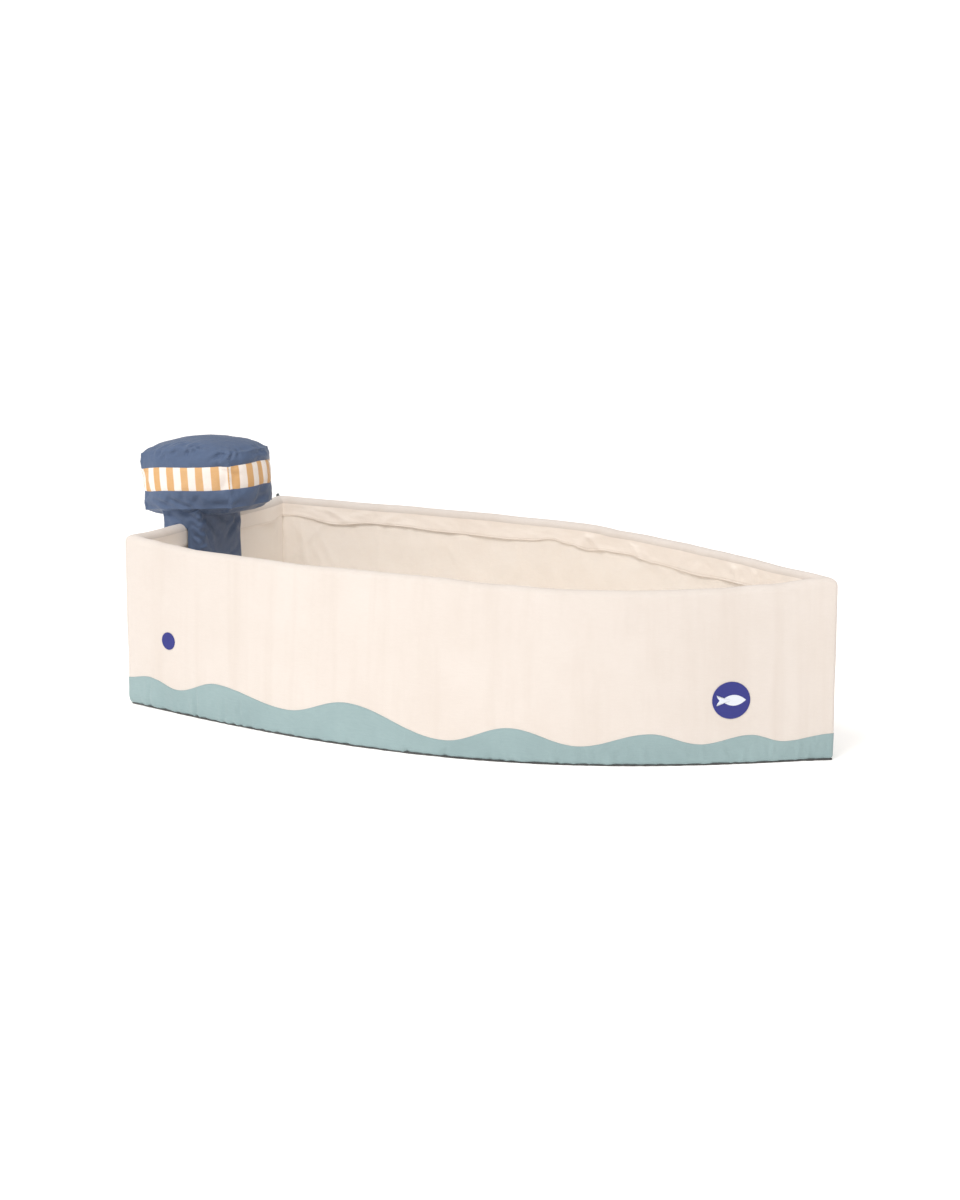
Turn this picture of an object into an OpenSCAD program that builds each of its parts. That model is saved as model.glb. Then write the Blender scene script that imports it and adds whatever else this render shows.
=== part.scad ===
// A soft play boat: foam boards in a cloth cover, with a stuffed outboard motor astride the stern.
// +X runs to the bow, +Y to port and +Z up. The origin is on the floor, midway along the whole length.

/* [Hull] */
// Length of the hull, from the stern to the bow seam
hull_len = 1200; // [1000:10:1400]
// Width of the stern
stern_w = 482; // [430:2:540]
// Height of the walls at the stern and the bow
wall_h = 290; // [250:5:330]
// Fullness of the sides behind mid-length, as a multiple of half the stern width
fullness_aft = 1.7; // [1.4:0.05:1.8]
// Fullness of the sides towards the bow, as a multiple of half the stern width
fullness_fore = 0.95; // [0.7:0.05:1.1]
// How far the rim leans inward at mid-length
rim_lean = 28; // [0:1:40]
// How far the rim sags at mid-length
rim_sag = 6; // [0:1:12]

/* [Foam and cloth] */
// Thickness of the foam boards
foam_t = 20; // [14:1:26]
// Thickness of every cloth
cloth_t = 1.2; // [0.8:0.1:1.6]
// Thickness of the wave bands and the round patches
print_t = 0.8; // [0.5:0.1:1.2]
// Thickness of the closing tape
tape_t = 0.8; // [0.5:0.1:1.2]
// Height of the facing inside the rim
facing_h = 48; // [40:1:60]
// Thickness of the padded floor
pad_t = 8; // [4:1:12]

/* [Decoration] */
// Diameter of the small round patch
dot_d = 30; // [20:1:40]
// Height of the small round patch
dot_z = 125; // [110:1:160]
// Diameter of the large round patch
emblem_d = 62; // [50:1:70]
// Height of the large round patch
emblem_z = 107; // [105:1:150]
// Width of the ribbon tab at the port corner
tab_w = 9; // [6:1:14]
// Length of the ribbon tab
tab_len = 34; // [24:1:50]

/* [Motor] */
// How far the motor sits to port of the middle of the stern
motor_side = -37; // [-90:1:90]
// Length of the motor head, fore and aft
head_len = 223; // [180:1:240]
// Width of the motor head
head_w = 160; // [140:1:180]
// How far the head tilts back, in degrees
head_tilt = 4.5; // [0:0.5:6]
// Depth of the plain cloth under the stripes
lower_band_h = 31.5; // [26:0.5:44]
// Depth of the striped band
stripe_band_h = 40.5; // [30:0.5:50]
// Depth of the plain cloth over the stripes
upper_band_h = 24.5; // [20:0.5:40]
// Rise of the top over the upper band
dome_h = 24; // [20:1:32]
// How far the head reaches behind the neck
head_overhang = 56; // [40:1:70]
// Width of the neck
neck_w = 135; // [110:1:140]
// Height of the neck between the rim and the middle of the head
bridge_h = 34; // [30:1:50]
// Thickness of the leg inside the boat
inner_leg_t = 29; // [20:1:36]
// Thickness of the leg outside the boat
outer_leg_t = 25; // [20:1:36]
// Length of the leg inside the boat, down from the rim
inner_leg_len = 140; // [110:5:170]
// Length of the leg outside the boat, down from the rim
outer_leg_len = 180; // [150:5:200]

/* [Hidden] */

cream = [0.97, 0.92, 0.87];
lining_cream = [0.92, 0.87, 0.81];
teal = [0.66, 0.74, 0.72];
navy = [0.27, 0.28, 0.56];
pale = [0.90, 0.93, 0.96];
foam_white = [0.95, 0.95, 0.93];
tape_white = [0.85, 0.85, 0.83];
charcoal = [0.24, 0.26, 0.30];
motor_blue = [0.36, 0.42, 0.53];
stripe_ochre = [0.86, 0.70, 0.50];

// Clearance between pieces that lie against each other, and between the motor and the stern
gap = 0.2;
tape_gap = 0.6;
saddle_gap = 0.8;
// Half the gap between the aft and the fore foam board of a side, as part of the side's length
fold_gap = 0.0008;
// Clearance under the flat fish sign, which the curve of the side needs
plate_gap = 0.6;
// Depths of the layers of a wall, measured inward from its outermost face
cover_d = print_t + gap;
foam_d = cover_d + cloth_t + gap;
lining_d = foam_d + foam_t + gap;
tape_d = lining_d + cloth_t + tape_gap;
facing_d = tape_d + tape_t + tape_gap;
wall_t = facing_d + cloth_t;
// The rim is a half round over the foam
rim_mid = foam_d + foam_t/2;
rim_in_r = foam_t/2 + gap;
rim_out_r = rim_in_r + cloth_t;
rim_z = wall_h - rim_out_r;
base_t = 1.6;
wall_z = base_t + gap;
pad_margin = 2.5;

// Places of the neck and the head, and heights above the floor
neck_back = -saddle_gap - outer_leg_t;
neck_front = wall_t + saddle_gap + inner_leg_t;
head_mid = neck_back - head_overhang + head_len/2;
bridge_z = wall_h + 2*gap;
head_z = wall_h + bridge_h;
leg_r = 8;
// Heights on the head, above the middle of its underside
stripe_z = lower_band_h;
upper_z = stripe_z + stripe_band_h;
dome_z = upper_z + upper_band_h + dome_h;
dome_r = (pow(norm([head_len, head_w])*0.4, 2) + pow(dome_h, 2))/(2*dome_h);
// Height of the dome over the head's two ends, and how far back the tilted head then reaches
end_z = dome_z - dome_r + sqrt(pow(dome_r, 2) - pow(head_len/2, 2));
head_back = head_mid - cos(head_tilt)*head_len/2 - sin(head_tilt)*end_z;

// The origin is midway between the back of the motor head and the bow
x_mid = (hull_len + head_back)/2;

// How many rings a wall, a wave band, a patch and a rim have
wall_rings = 26;
wave_rings = 2*wall_rings;
patch_rings = 5;
rim_steps = 8;

// Places along the hull, from the stern, of the round patches
dot_x = hull_len*0.076;
emblem_x = hull_len*0.89;

// Crests and troughs of the wave bands: part of the hull's length from the stern, then height
SIDE_WAVE = [
    [0, 47], [0.042, 55], [0.098, 42], [0.165, 66], [0.293, 45], [0.389, 72], [0.54, 29],
    [0.629, 57], [0.718, 32], [0.803, 53], [0.861, 35], [0.914, 48], [0.951, 35], [1, 45]
];
// A height between the waves' crests and the round patches
wave_top = 74;
// Crests and troughs across the stern: part of its width, then height
STERN_WAVE = [[0, 47], [0.2, 62], [0.42, 40], [0.62, 64], [0.83, 42], [1, 47]];

// Plan of the port side: a cubic curve from the stern corner to the bow
HALF = stern_w/2;
P0 = [0, HALF];
P1 = [0.58*hull_len, fullness_aft*HALF];
P2 = [0.783*hull_len, fullness_fore*HALF];
P3 = [hull_len, 0];

function side_curve(t) =
    pow(1 - t, 3)*P0 + 3*t*pow(1 - t, 2)*P1 + 3*t*t*(1 - t)*P2 + pow(t, 3)*P3;
function side_slope(t) =
    3*pow(1 - t, 2)*(P1 - P0) + 6*t*(1 - t)*(P2 - P1) + 3*t*t*(P3 - P2);
function side_inward(t) =
    let(s = side_slope(t)) [s.y, -s.x]/norm(s);
function side_inset(d, t) = side_curve(t) + d*side_inward(t);

// Where a rising function passes zero
function root(f, low, high, steps = 20) =
    let(mid = (low + high)/2)
    steps == 0 ? mid : f(mid) > 0 ? root(f, low, mid, steps - 1) : root(f, mid, high, steps - 1);

// A layer at depth d starts on the mitre at the stern corner and ends on the centre line at the bow
function t_start(d) = root(function(t) side_inset(d, t).x - d - gap, 0, 0.2);
function t_end(d) = root(function(t) gap/2 - side_inset(d, t).y, 0.6, 1);
function t_at(x) = root(function(t) side_curve(t).x - x, 0, 1);
function stern_half(d) = side_inset(d, t_start(d)).y - gap;

// Lean and sag grow with height and with distance from both ends
function bulge(u, z) = 4*u*(1 - u)*z/wall_h;

// A point of the port wall at depth d and height z, on a layer that runs from t0 to t1
function side_point(d, z, u, t0, t1) =
    let(t = t0 + u*(t1 - t0), p = side_inset(d + rim_lean*bulge(u, z), t))
    [p.x - x_mid, p.y, z - rim_sag*bulge(u, z)];
function stern_point(d, z, u) = [d - x_mid, (2*u - 1)*stern_half(d), z];

// Height of a wave band at part s of its length, rounded between its crests and troughs
function wave_height(knots, s, i = 0) =
    s > knots[i + 1][0] && i < len(knots) - 2
        ? wave_height(knots, s, i + 1)
        : let(a = knots[i], b = knots[i + 1], k = (s - a[0])/(b[0] - a[0]))
          a[1] + (b[1] - a[1])*(1 - cos(180*k))/2;

// Sections of a layer: an outer path and an inner path with as many points, as [depth, height]
function flat_path(d, z0, z1) = [[d, z0], [d, z1]];
function low_path(d) = [[d, wall_z], [d, wave_top], [d, wall_h/2]];
function rim_arc(r, a0, a1, steps) =
    [for (i = [0 : steps])
        let(a = a0 + (a1 - a0)*i/steps)
        [rim_mid - r*cos(a), rim_z + r*sin(a)]];
cover_section = [
    concat(low_path(cover_d), rim_arc(rim_out_r, 0, 180, rim_steps)),
    concat(low_path(foam_d - gap), rim_arc(rim_in_r, 0, 180, rim_steps))
];
// The two sides of the foam stop short of the top, which leaves a narrow flat between them
rim_flat = 6;
foam_section = [
    concat(low_path(foam_d), rim_arc(foam_t/2, 0, 90 - rim_flat, rim_steps/2)),
    concat(low_path(foam_d + foam_t), rim_arc(foam_t/2, 180, 90 + rim_flat, rim_steps/2))
];
lining_section = [
    concat(low_path(lining_d), [[lining_d, rim_z - gap]]),
    concat(low_path(lining_d + cloth_t), [[lining_d + cloth_t, rim_z - gap]])
];
tape_z = wall_h - facing_h + 4;
tape_h = 18;
tape_section = [
    flat_path(tape_d, tape_z, tape_z + tape_h),
    flat_path(tape_d + tape_t, tape_z, tape_z + tape_h)
];
facing_section = [
    flat_path(facing_d, wall_h - facing_h, rim_z - gap),
    flat_path(wall_t, wall_h - facing_h, rim_z - gap)
];

// A closed solid swept through rings of points. ring(i) gives the outer and the inner path of ring i.
module swept(ring, rings) {
    first = ring(0);
    k = len(first[0]);
    points = [for (i = [0 : rings]) let(r = ring(i)) for (side = [0, 1], j = [0 : k - 1]) r[side][j]];
    function at(i, side, j) = (2*i + side)*k + j;
    function quad(a, b, c, d) = [[a, b, c], [a, c, d]];
    faces = concat(
        [for (i = [0 : rings - 1], j = [0 : k - 2])
            each quad(at(i, 0, j), at(i, 0, j + 1), at(i + 1, 0, j + 1), at(i + 1, 0, j))],
        [for (i = [0 : rings - 1], j = [0 : k - 2])
            each quad(at(i, 1, j), at(i + 1, 1, j), at(i + 1, 1, j + 1), at(i, 1, j + 1))],
        [for (i = [0 : rings - 1])
            each quad(at(i, 0, 0), at(i + 1, 0, 0), at(i + 1, 1, 0), at(i, 1, 0))],
        [for (i = [0 : rings - 1])
            each quad(at(i, 0, k - 1), at(i, 1, k - 1), at(i + 1, 1, k - 1), at(i + 1, 0, k - 1))],
        [for (j = [0 : k - 2])
            each quad(at(0, 0, j), at(0, 1, j), at(0, 1, j + 1), at(0, 0, j + 1))],
        [for (j = [0 : k - 2])
            each quad(at(rings, 0, j), at(rings, 0, j + 1), at(rings, 1, j + 1), at(rings, 1, j))]
    );
    polyhedron(points, faces);
}

// A layer of the port wall, or of part of it from u0 to u1
module side_layer(section, rings = wall_rings, u0 = 0, u1 = 1) {
    ends = [for (path = section) [for (p = path) [t_start(p[0]), t_end(p[0])]]];
    swept(
        function(i)
            [for (s = [0, 1]) [for (j = [0 : len(section[s]) - 1])
                let(p = section[s][j], t = ends[s][j])
                side_point(p[0], p[1], u0 + (u1 - u0)*i/rings, t[0], t[1])]],
        rings);
}

// A layer of the stern wall
module stern_layer(section) {
    swept(
        function(i) [for (path = section) [for (p = path) stern_point(p[0], p[1], i)]],
        1);
}

// Wave band of the port side
module side_wave() {
    ends = [for (d = [0, print_t]) [t_start(d), t_end(d)]];
    swept(
        function(i)
            let(u = i/wave_rings, t = ends[0][0] + u*(ends[0][1] - ends[0][0]))
            let(z = wave_height(SIDE_WAVE, side_curve(t).x/hull_len))
            [for (s = [0, 1]) [for (h = [wall_z, z])
                side_point(s*print_t, h, u, ends[s][0], ends[s][1])]],
        wave_rings);
}

module stern_wave() {
    rings = 30;
    swept(
        function(i)
            let(z = wave_height(STERN_WAVE, i/rings))
            [for (d = [0, print_t]) [for (h = [wall_z, z]) stern_point(d, h, i/rings)]],
        rings);
}

// An outline laid on the curve of the port side at x from the stern and height z, up to size across
module side_patch(x, z, size) {
    t = t_at(x);
    p = side_curve(t);
    n = side_inward(t);
    reach = size/hull_len;
    intersection() {
        side_layer([flat_path(0, z - size, z + size), flat_path(print_t, z - size, z + size)],
            patch_rings, t - reach, t + reach);
        translate([p.x - x_mid, p.y, z])
            rotate([90, 0, atan2(n.x, -n.y)])
            linear_extrude(90, center = true)
            children();
    }
}

// A flat outline standing just off the port side at x from the stern and height z, tilted with the wall
module side_plate(x, z) {
    t = t_at(x);
    u = (t - t_start(0))/(t_end(0) - t_start(0));
    p = side_inset(rim_lean*bulge(u, z), t);
    n = side_inward(t);
    translate([p.x - x_mid, p.y, z - rim_sag*bulge(u, z)])
        rotate([90 + atan(rim_lean*bulge(u, 1)), 0, atan2(n.x, -n.y)])
        translate([0, 0, -print_t - plate_gap])
        linear_extrude(print_t)
        children();
}

// Outline of the hull at depth d, as seen from above
module hull_outline(d) {
    steps = 36;
    t0 = t_start(d);
    t1 = t_end(d);
    port = [for (i = [0 : steps]) side_inset(d, t0 + (t1 - t0)*i/steps) - [x_mid, 0]];
    starboard = [for (i = [steps : -1 : 0]) [port[i].x, -port[i].y]];
    polygon(concat(port, starboard));
}

// A plain fish sign: a body between two parabolas, and a notched wedge for its tail
module fish_outline() {
    steps = 12;
    half_len = 20;
    half_high = 9;
    nose = 24;
    root_s = -0.8;
    function edge(s, side) = [nose - half_len*(1 - s), side*half_high*(1 - s*s)];
    back = [for (i = [0 : steps]) edge(root_s + (1 - root_s)*i/steps, 1)];
    belly = [for (i = [steps - 1 : -1 : 0]) edge(root_s + (1 - root_s)*i/steps, -1)];
    polygon(concat(back, belly, [[-24, -9], [-19, 0], [-24, 9]]));
}

// Puts what is drawn from the middle of the head's underside in its place, tilted back
module on_head() {
    translate([head_mid - x_mid, motor_side, head_z]) rotate([0, -head_tilt, 0]) children();
}

// Plan of the motor head, d in from its faces: convex sides with soft corners
module head_outline(d) {
    steps = 56;
    power = 2/3;
    a = head_len/2 - d;
    b = head_w/2 - d;
    polygon([for (i = [0 : steps - 1])
        let(c = cos(360*i/steps), s = sin(360*i/steps))
        [a*sign(c)*pow(abs(c), power), b*sign(s)*pow(abs(s), power)]]);
}

module head_ring(z, h) {
    translate([0, 0, z]) linear_extrude(h - gap) difference() {
        head_outline(0);
        head_outline(cloth_t);
    }
}

module dome_ball(inset) {
    translate([0, 0, dome_z - dome_r]) sphere(r = dome_r - inset, $fn = 160);
}

// Everything a little below the underside of the head
module below_head() {
    on_head() translate([-300, -150, -200 - gap]) cube([600, 300, 200]);
}

// Upright block with rounded corners, from x0 to x1, as wide as the neck less d on each side
module neck_block(x0, x1, z0, z1, d) {
    r = leg_r - d;
    half = neck_w/2 - d;
    fore = x1 - d - r;
    aft = x0 + d + r;
    corners = [[fore, half - r], [aft, half - r], [aft, r - half], [fore, r - half]];
    translate([-x_mid, motor_side, z0]) linear_extrude(z1 - z0)
        polygon([for (q = [0 : 3], i = [0 : 4])
            let(a = 90*q + 22.5*i)
            corners[q] + r*[cos(a), sin(a)]]);
}

module leg_cover(x0, x1, z0) {
    difference() {
        neck_block(x0, x1, z0, wall_h, 0);
        neck_block(x0, x1, z0 + cloth_t, wall_h + 1, cloth_t);
    }
}

module leg_filling(x0, x1, z0) {
    neck_block(x0, x1, z0 + cloth_t + gap, wall_h, cloth_t + gap);
}

module port_foam_aft() {
    color(foam_white) side_layer(foam_section, wall_rings/2, 0, 0.5 - fold_gap);
}
module port_foam_fore() {
    color(foam_white) side_layer(foam_section, wall_rings/2, 0.5 + fold_gap, 1);
}
module port_cover() { color(cream) side_layer(cover_section); }
module port_wave() { color(teal) side_wave(); }
module port_lining() { color(lining_cream) side_layer(lining_section); }
module port_facing() { color(cream) side_layer(facing_section); }
module port_tape() { color(tape_white) side_layer(tape_section); }
module port_dot() { color(navy) side_patch(dot_x, dot_z, dot_d) circle(d = dot_d, $fn = 64); }
module port_emblem() {
    color(navy) side_patch(emblem_x, emblem_z, emblem_d) circle(d = emblem_d, $fn = 96);
}
module port_fish() {
    color(pale) side_plate(emblem_x, emblem_z) fish_outline();
}

module starboard_foam_aft() { mirror([0, 1, 0]) port_foam_aft(); }
module starboard_foam_fore() { mirror([0, 1, 0]) port_foam_fore(); }
module starboard_cover() { mirror([0, 1, 0]) port_cover(); }
module starboard_wave() { mirror([0, 1, 0]) port_wave(); }
module starboard_lining() { mirror([0, 1, 0]) port_lining(); }
module starboard_facing() { mirror([0, 1, 0]) port_facing(); }
module starboard_tape() { mirror([0, 1, 0]) port_tape(); }
module starboard_dot() { mirror([0, 1, 0]) port_dot(); }
module starboard_emblem() { mirror([0, 1, 0]) port_emblem(); }
module starboard_fish() { mirror([0, 1, 0]) port_fish(); }

module transom_foam() { color(foam_white) stern_layer(foam_section); }
module transom_cover() { color(cream) stern_layer(cover_section); }
module transom_wave() { color(teal) stern_wave(); }
module transom_lining() { color(lining_cream) stern_layer(lining_section); }
module transom_facing() { color(cream) stern_layer(facing_section); }
module transom_tape() { color(tape_white) stern_layer(tape_section); }

module floor_pad() {
    color(lining_cream) translate([0, 0, wall_z]) linear_extrude(pad_t) hull_outline(wall_t + pad_margin);
}
module base_cloth() { color(charcoal) linear_extrude(base_t) hull_outline(cover_d); }

// A folded ribbon sewn to the stern beside the port corner, its fold standing above the rim
module corner_tab() {
    thick = 1.6;
    rise = 10;
    inset = 6;
    color(charcoal)
        translate([cover_d - gap - thick - x_mid, HALF - inset - tab_w, wall_h + rise - tab_len])
        cube([thick, tab_w, tab_len]);
}

module motor_top() {
    color(motor_blue) on_head() intersection() {
        translate([0, 0, upper_z]) linear_extrude(dome_z - upper_z) head_outline(0);
        difference() {
            dome_ball(0);
            dome_ball(cloth_t);
        }
    }
}
module motor_upper_band() {
    color(motor_blue) on_head() intersection() {
        head_ring(upper_z, dome_z - upper_z);
        dome_ball(cloth_t + gap);
    }
}
module motor_stripe_band() { color(stripe_ochre) on_head() head_ring(stripe_z, stripe_band_h); }
module motor_lower_band() {
    color(motor_blue) on_head() head_ring(cloth_t + gap, lower_band_h - cloth_t - gap);
}
module motor_underside() { color(motor_blue) on_head() linear_extrude(cloth_t) head_outline(0); }
module motor_filling() {
    fill_z = cloth_t + gap;
    color(foam_white) on_head() intersection() {
        translate([0, 0, fill_z]) linear_extrude(dome_z - fill_z) head_outline(cloth_t + gap);
        dome_ball(cloth_t + gap);
    }
}

module bridge_cover() {
    z0 = bridge_z + cloth_t + gap;
    color(motor_blue) intersection() {
        difference() {
            neck_block(neck_back, neck_front, z0, head_z + head_overhang, 0);
            neck_block(neck_back, neck_front, z0 - 1, head_z + head_overhang + 1, cloth_t);
        }
        below_head();
    }
}
module bridge_filling() {
    z0 = bridge_z + cloth_t + gap;
    color(foam_white) intersection() {
        neck_block(neck_back, neck_front, z0, head_z + head_overhang, cloth_t + gap);
        below_head();
    }
}
module bridge_lining() {
    color(motor_blue) neck_block(neck_back, neck_front, bridge_z, bridge_z + cloth_t, 0);
}
module inner_leg_cover() {
    color(motor_blue) leg_cover(neck_front - inner_leg_t, neck_front, wall_h - inner_leg_len);
}
module inner_leg_filling() {
    color(foam_white) leg_filling(neck_front - inner_leg_t, neck_front, wall_h - inner_leg_len);
}
module outer_leg_cover() {
    color(motor_blue) leg_cover(neck_back, neck_back + outer_leg_t, wall_h - outer_leg_len);
}
module outer_leg_filling() {
    color(foam_white) leg_filling(neck_back, neck_back + outer_leg_t, wall_h - outer_leg_len);
}

starboard_foam_aft();
starboard_foam_fore();
starboard_cover();
starboard_wave();
starboard_lining();
starboard_facing();
starboard_tape();
starboard_dot();
starboard_emblem();
starboard_fish();
port_foam_aft();
port_foam_fore();
port_cover();
port_wave();
port_lining();
port_facing();
port_tape();
port_dot();
port_emblem();
port_fish();
transom_foam();
transom_cover();
transom_wave();
transom_lining();
transom_facing();
transom_tape();
floor_pad();
base_cloth();
corner_tab();
motor_top();
motor_upper_band();
motor_stripe_band();
motor_lower_band();
motor_underside();
motor_filling();
bridge_cover();
bridge_filling();
bridge_lining();
inner_leg_cover();
inner_leg_filling();
outer_leg_cover();
outer_leg_filling();
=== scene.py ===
import math
import bpy
import bmesh
import numpy as np
from mathutils import Matrix, Vector, noise


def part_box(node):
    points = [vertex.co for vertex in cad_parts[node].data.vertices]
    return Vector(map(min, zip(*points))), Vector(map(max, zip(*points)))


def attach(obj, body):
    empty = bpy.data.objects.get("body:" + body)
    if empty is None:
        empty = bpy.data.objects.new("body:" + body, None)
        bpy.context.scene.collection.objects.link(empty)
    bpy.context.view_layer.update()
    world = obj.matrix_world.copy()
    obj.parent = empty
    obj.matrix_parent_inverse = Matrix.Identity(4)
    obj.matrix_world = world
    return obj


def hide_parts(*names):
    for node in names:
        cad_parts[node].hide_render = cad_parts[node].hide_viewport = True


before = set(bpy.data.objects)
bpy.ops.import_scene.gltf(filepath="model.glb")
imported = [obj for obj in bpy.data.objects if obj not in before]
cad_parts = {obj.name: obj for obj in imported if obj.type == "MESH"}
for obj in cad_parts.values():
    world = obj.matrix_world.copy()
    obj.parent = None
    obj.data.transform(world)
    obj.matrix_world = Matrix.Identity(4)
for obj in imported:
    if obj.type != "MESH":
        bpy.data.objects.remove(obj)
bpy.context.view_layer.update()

# Hull x is measured from the stern's outermost face. Row x = hull x + STERN.
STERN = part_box("transom_wave")[0].x

# ---------------------------------------------------------------- camera
scene = bpy.context.scene
YAW, PITCH, ROLL, DIST = math.radians(28.6), math.radians(12.02), math.radians(0.19), 5.528
TARGET = Vector((0.449 + STERN, 0.191, 0.150))
cam_data = bpy.data.cameras.new("camera")
cam_data.lens = 93.72
cam_data.clip_end = 1000
cam = bpy.data.objects.new("camera", cam_data)
scene.collection.objects.link(cam)
back = Vector((math.sin(YAW)*math.cos(PITCH), -math.cos(YAW)*math.cos(PITCH), math.sin(PITCH)))
cam.location = TARGET + back*DIST
turn = back.to_track_quat("Z", "Y").to_matrix().to_4x4()
cam.matrix_world = Matrix.Translation(cam.location) @ turn @ Matrix.Rotation(ROLL, 4, "Z")
scene.camera = cam
scene.view_settings.view_transform = "Standard"


# ---------------------------------------------------------------- small helpers
def lin(r, g, b):
    """A colour given in 0..255 display values, as linear light."""
    return tuple(((c/255 + 0.055)/1.055)**2.4 if c > 10 else c/255/12.92 for c in (r, g, b)) + (1.0,)


def smooth(x):
    x = np.clip(x, 0, 1)
    return x*x*(3 - 2*x)


def knots(pairs, x):
    """Smooth curve through (place, value) pairs."""
    xs, ys = np.array(pairs, float).T
    i = np.clip(np.searchsorted(xs, x) - 1, 0, len(xs) - 2)
    k = np.clip((x - xs[i])/(xs[i + 1] - xs[i]), 0, 1)
    return ys[i] + (ys[i + 1] - ys[i])*(1 - np.cos(np.pi*k))/2


def fbm(points, scale, seed, octaves=3):
    """Fractal noise, about -1 to 1, at points (..., 3) with features of the given size."""
    p = np.asarray(points, float)
    q = (p/np.asarray(scale)).reshape(-1, 3) + np.array([seed*17.3, seed*5.1, seed*9.7])
    out = np.array([noise.fractal(Vector(v), 0.9, 2.1, octaves) for v in q])
    return out.reshape(p.shape[:-1])


def ridges(points, scale, seed, octaves=2):
    """Soft creases: near 1 along thin lines and 0 elsewhere."""
    return np.clip(1 - np.abs(fbm(points, scale, seed, octaves))*2.6, 0, 1)**2


def read(items, key, width=1, kind=np.float64):
    """One property of all of a mesh's vertices, edges, loops or faces."""
    out = np.empty(len(items)*width, dtype=kind)
    items.foreach_get(key, out)
    return out.reshape(-1, width) if width > 1 else out


def add_mesh(name, verts, faces, mat, body, uv):
    me = bpy.data.meshes.new(name)
    me.from_pydata([tuple(map(float, v)) for v in verts], [], [tuple(map(int, f)) for f in faces])
    corners = read(me.loops, "vertex_index", kind=np.int32)
    me.uv_layers.new(name="cloth").data.foreach_set("uv", np.asarray(uv, float)[corners].ravel())
    me.validate()
    ob = bpy.data.objects.new(name, me)
    scene.collection.objects.link(ob)
    me.materials.append(mat)
    me.shade_smooth()
    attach(ob, body)
    return ob


def grid_faces(rows, cols, closed=False, flip=False):
    """Quads of a grid of points; closed joins the last column to the first, flip turns the faces over."""
    out = []
    for j in range(rows - 1):
        for i in range(cols if closed else cols - 1):
            a, b = j*cols + i, j*cols + (i + 1) % cols
            c, d = b + cols, a + cols
            out.append((a, d, c, b) if flip else (a, b, c, d))
    return out


def add_grid(name, pts, mat, uv, closed=False, flip=False):
    """A grid of points (rows, cols, 3) on the hull, in the row frame."""
    faces = grid_faces(*pts.shape[:2], closed, flip)
    return add_mesh(name, pts.reshape(-1, 3), faces, mat, "hull", uv.reshape(-1, 2))


# ---------------------------------------------------------------- materials
class Nodes:
    """A material and short ways to add nodes to it. UVs are in metres of cloth."""

    def __init__(self, name):
        self.mat = bpy.data.materials.new(name)
        self.mat.use_nodes = True
        self.tree = self.mat.node_tree
        self.shader = self.tree.nodes["Principled BSDF"]
        self.uv = self.tree.nodes.new("ShaderNodeUVMap")
        self.uv.uv_map = "cloth"
        self.co = self.tree.nodes.new("ShaderNodeTexCoord").outputs["Object"]

    def link(self, a, b):
        self.tree.links.new(a, b)

    def node(self, kind, ins=(), **props):
        n = self.tree.nodes.new(kind)
        for k, v in props.items():
            setattr(n, k, v)
        for key, value in dict(ins).items():
            sock = n.inputs[key]
            if isinstance(value, bpy.types.NodeSocket):
                self.link(value, sock)
            else:
                sock.default_value = value
        return n

    def math(self, op, a, b=0.0):
        return self.node("ShaderNodeMath", {0: a, 1: b}, operation=op).outputs[0]

    def noise(self, scale, detail=3.0, rough=0.5, vector=None, stretch=(1, 1, 1)):
        vec = self.node("ShaderNodeMapping", {"Vector": vector or self.co, "Scale": stretch}).outputs[0]
        n = self.node("ShaderNodeTexNoise", {"Vector": vec, "Scale": scale, "Detail": detail, "Roughness": rough})
        return n.outputs["Fac"]

    def mix(self, factor, a, b):
        n = self.tree.nodes.new("ShaderNodeMix")
        n.data_type = "RGBA"
        for sock, value in ((n.inputs[0], factor), (n.inputs[6], a), (n.inputs[7], b)):
            if isinstance(value, bpy.types.NodeSocket):
                self.link(value, sock)
            else:
                sock.default_value = value
        return n.outputs[2]

    def ramp(self, value, low, high, to_low=0.0, to_high=1.0):
        n = self.node("ShaderNodeMapRange", {"Value": value, "From Min": low, "From Max": high,
                                             "To Min": to_low, "To Max": to_high})
        return n.outputs[0]

    def weave(self, pitch):
        """Height of a plain weave of the given thread spacing, from UVs in metres."""
        sep = self.node("ShaderNodeSeparateXYZ", {0: self.uv.outputs[0]})
        u = self.math("MULTIPLY", sep.outputs[0], math.pi/pitch)
        v = self.math("MULTIPLY", sep.outputs[1], math.pi/pitch)
        su, sv = self.math("SINE", u), self.math("SINE", v)
        over = self.math("MULTIPLY", su, sv)
        warp = self.math("ABSOLUTE", su)
        weft = self.math("ABSOLUTE", sv)
        pick = self.ramp(over, -0.25, 0.25)
        a = self.math("MULTIPLY", warp, pick)
        b = self.math("MULTIPLY", weft, self.math("SUBTRACT", 1.0, pick))
        return self.math("ADD", a, b)


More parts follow.
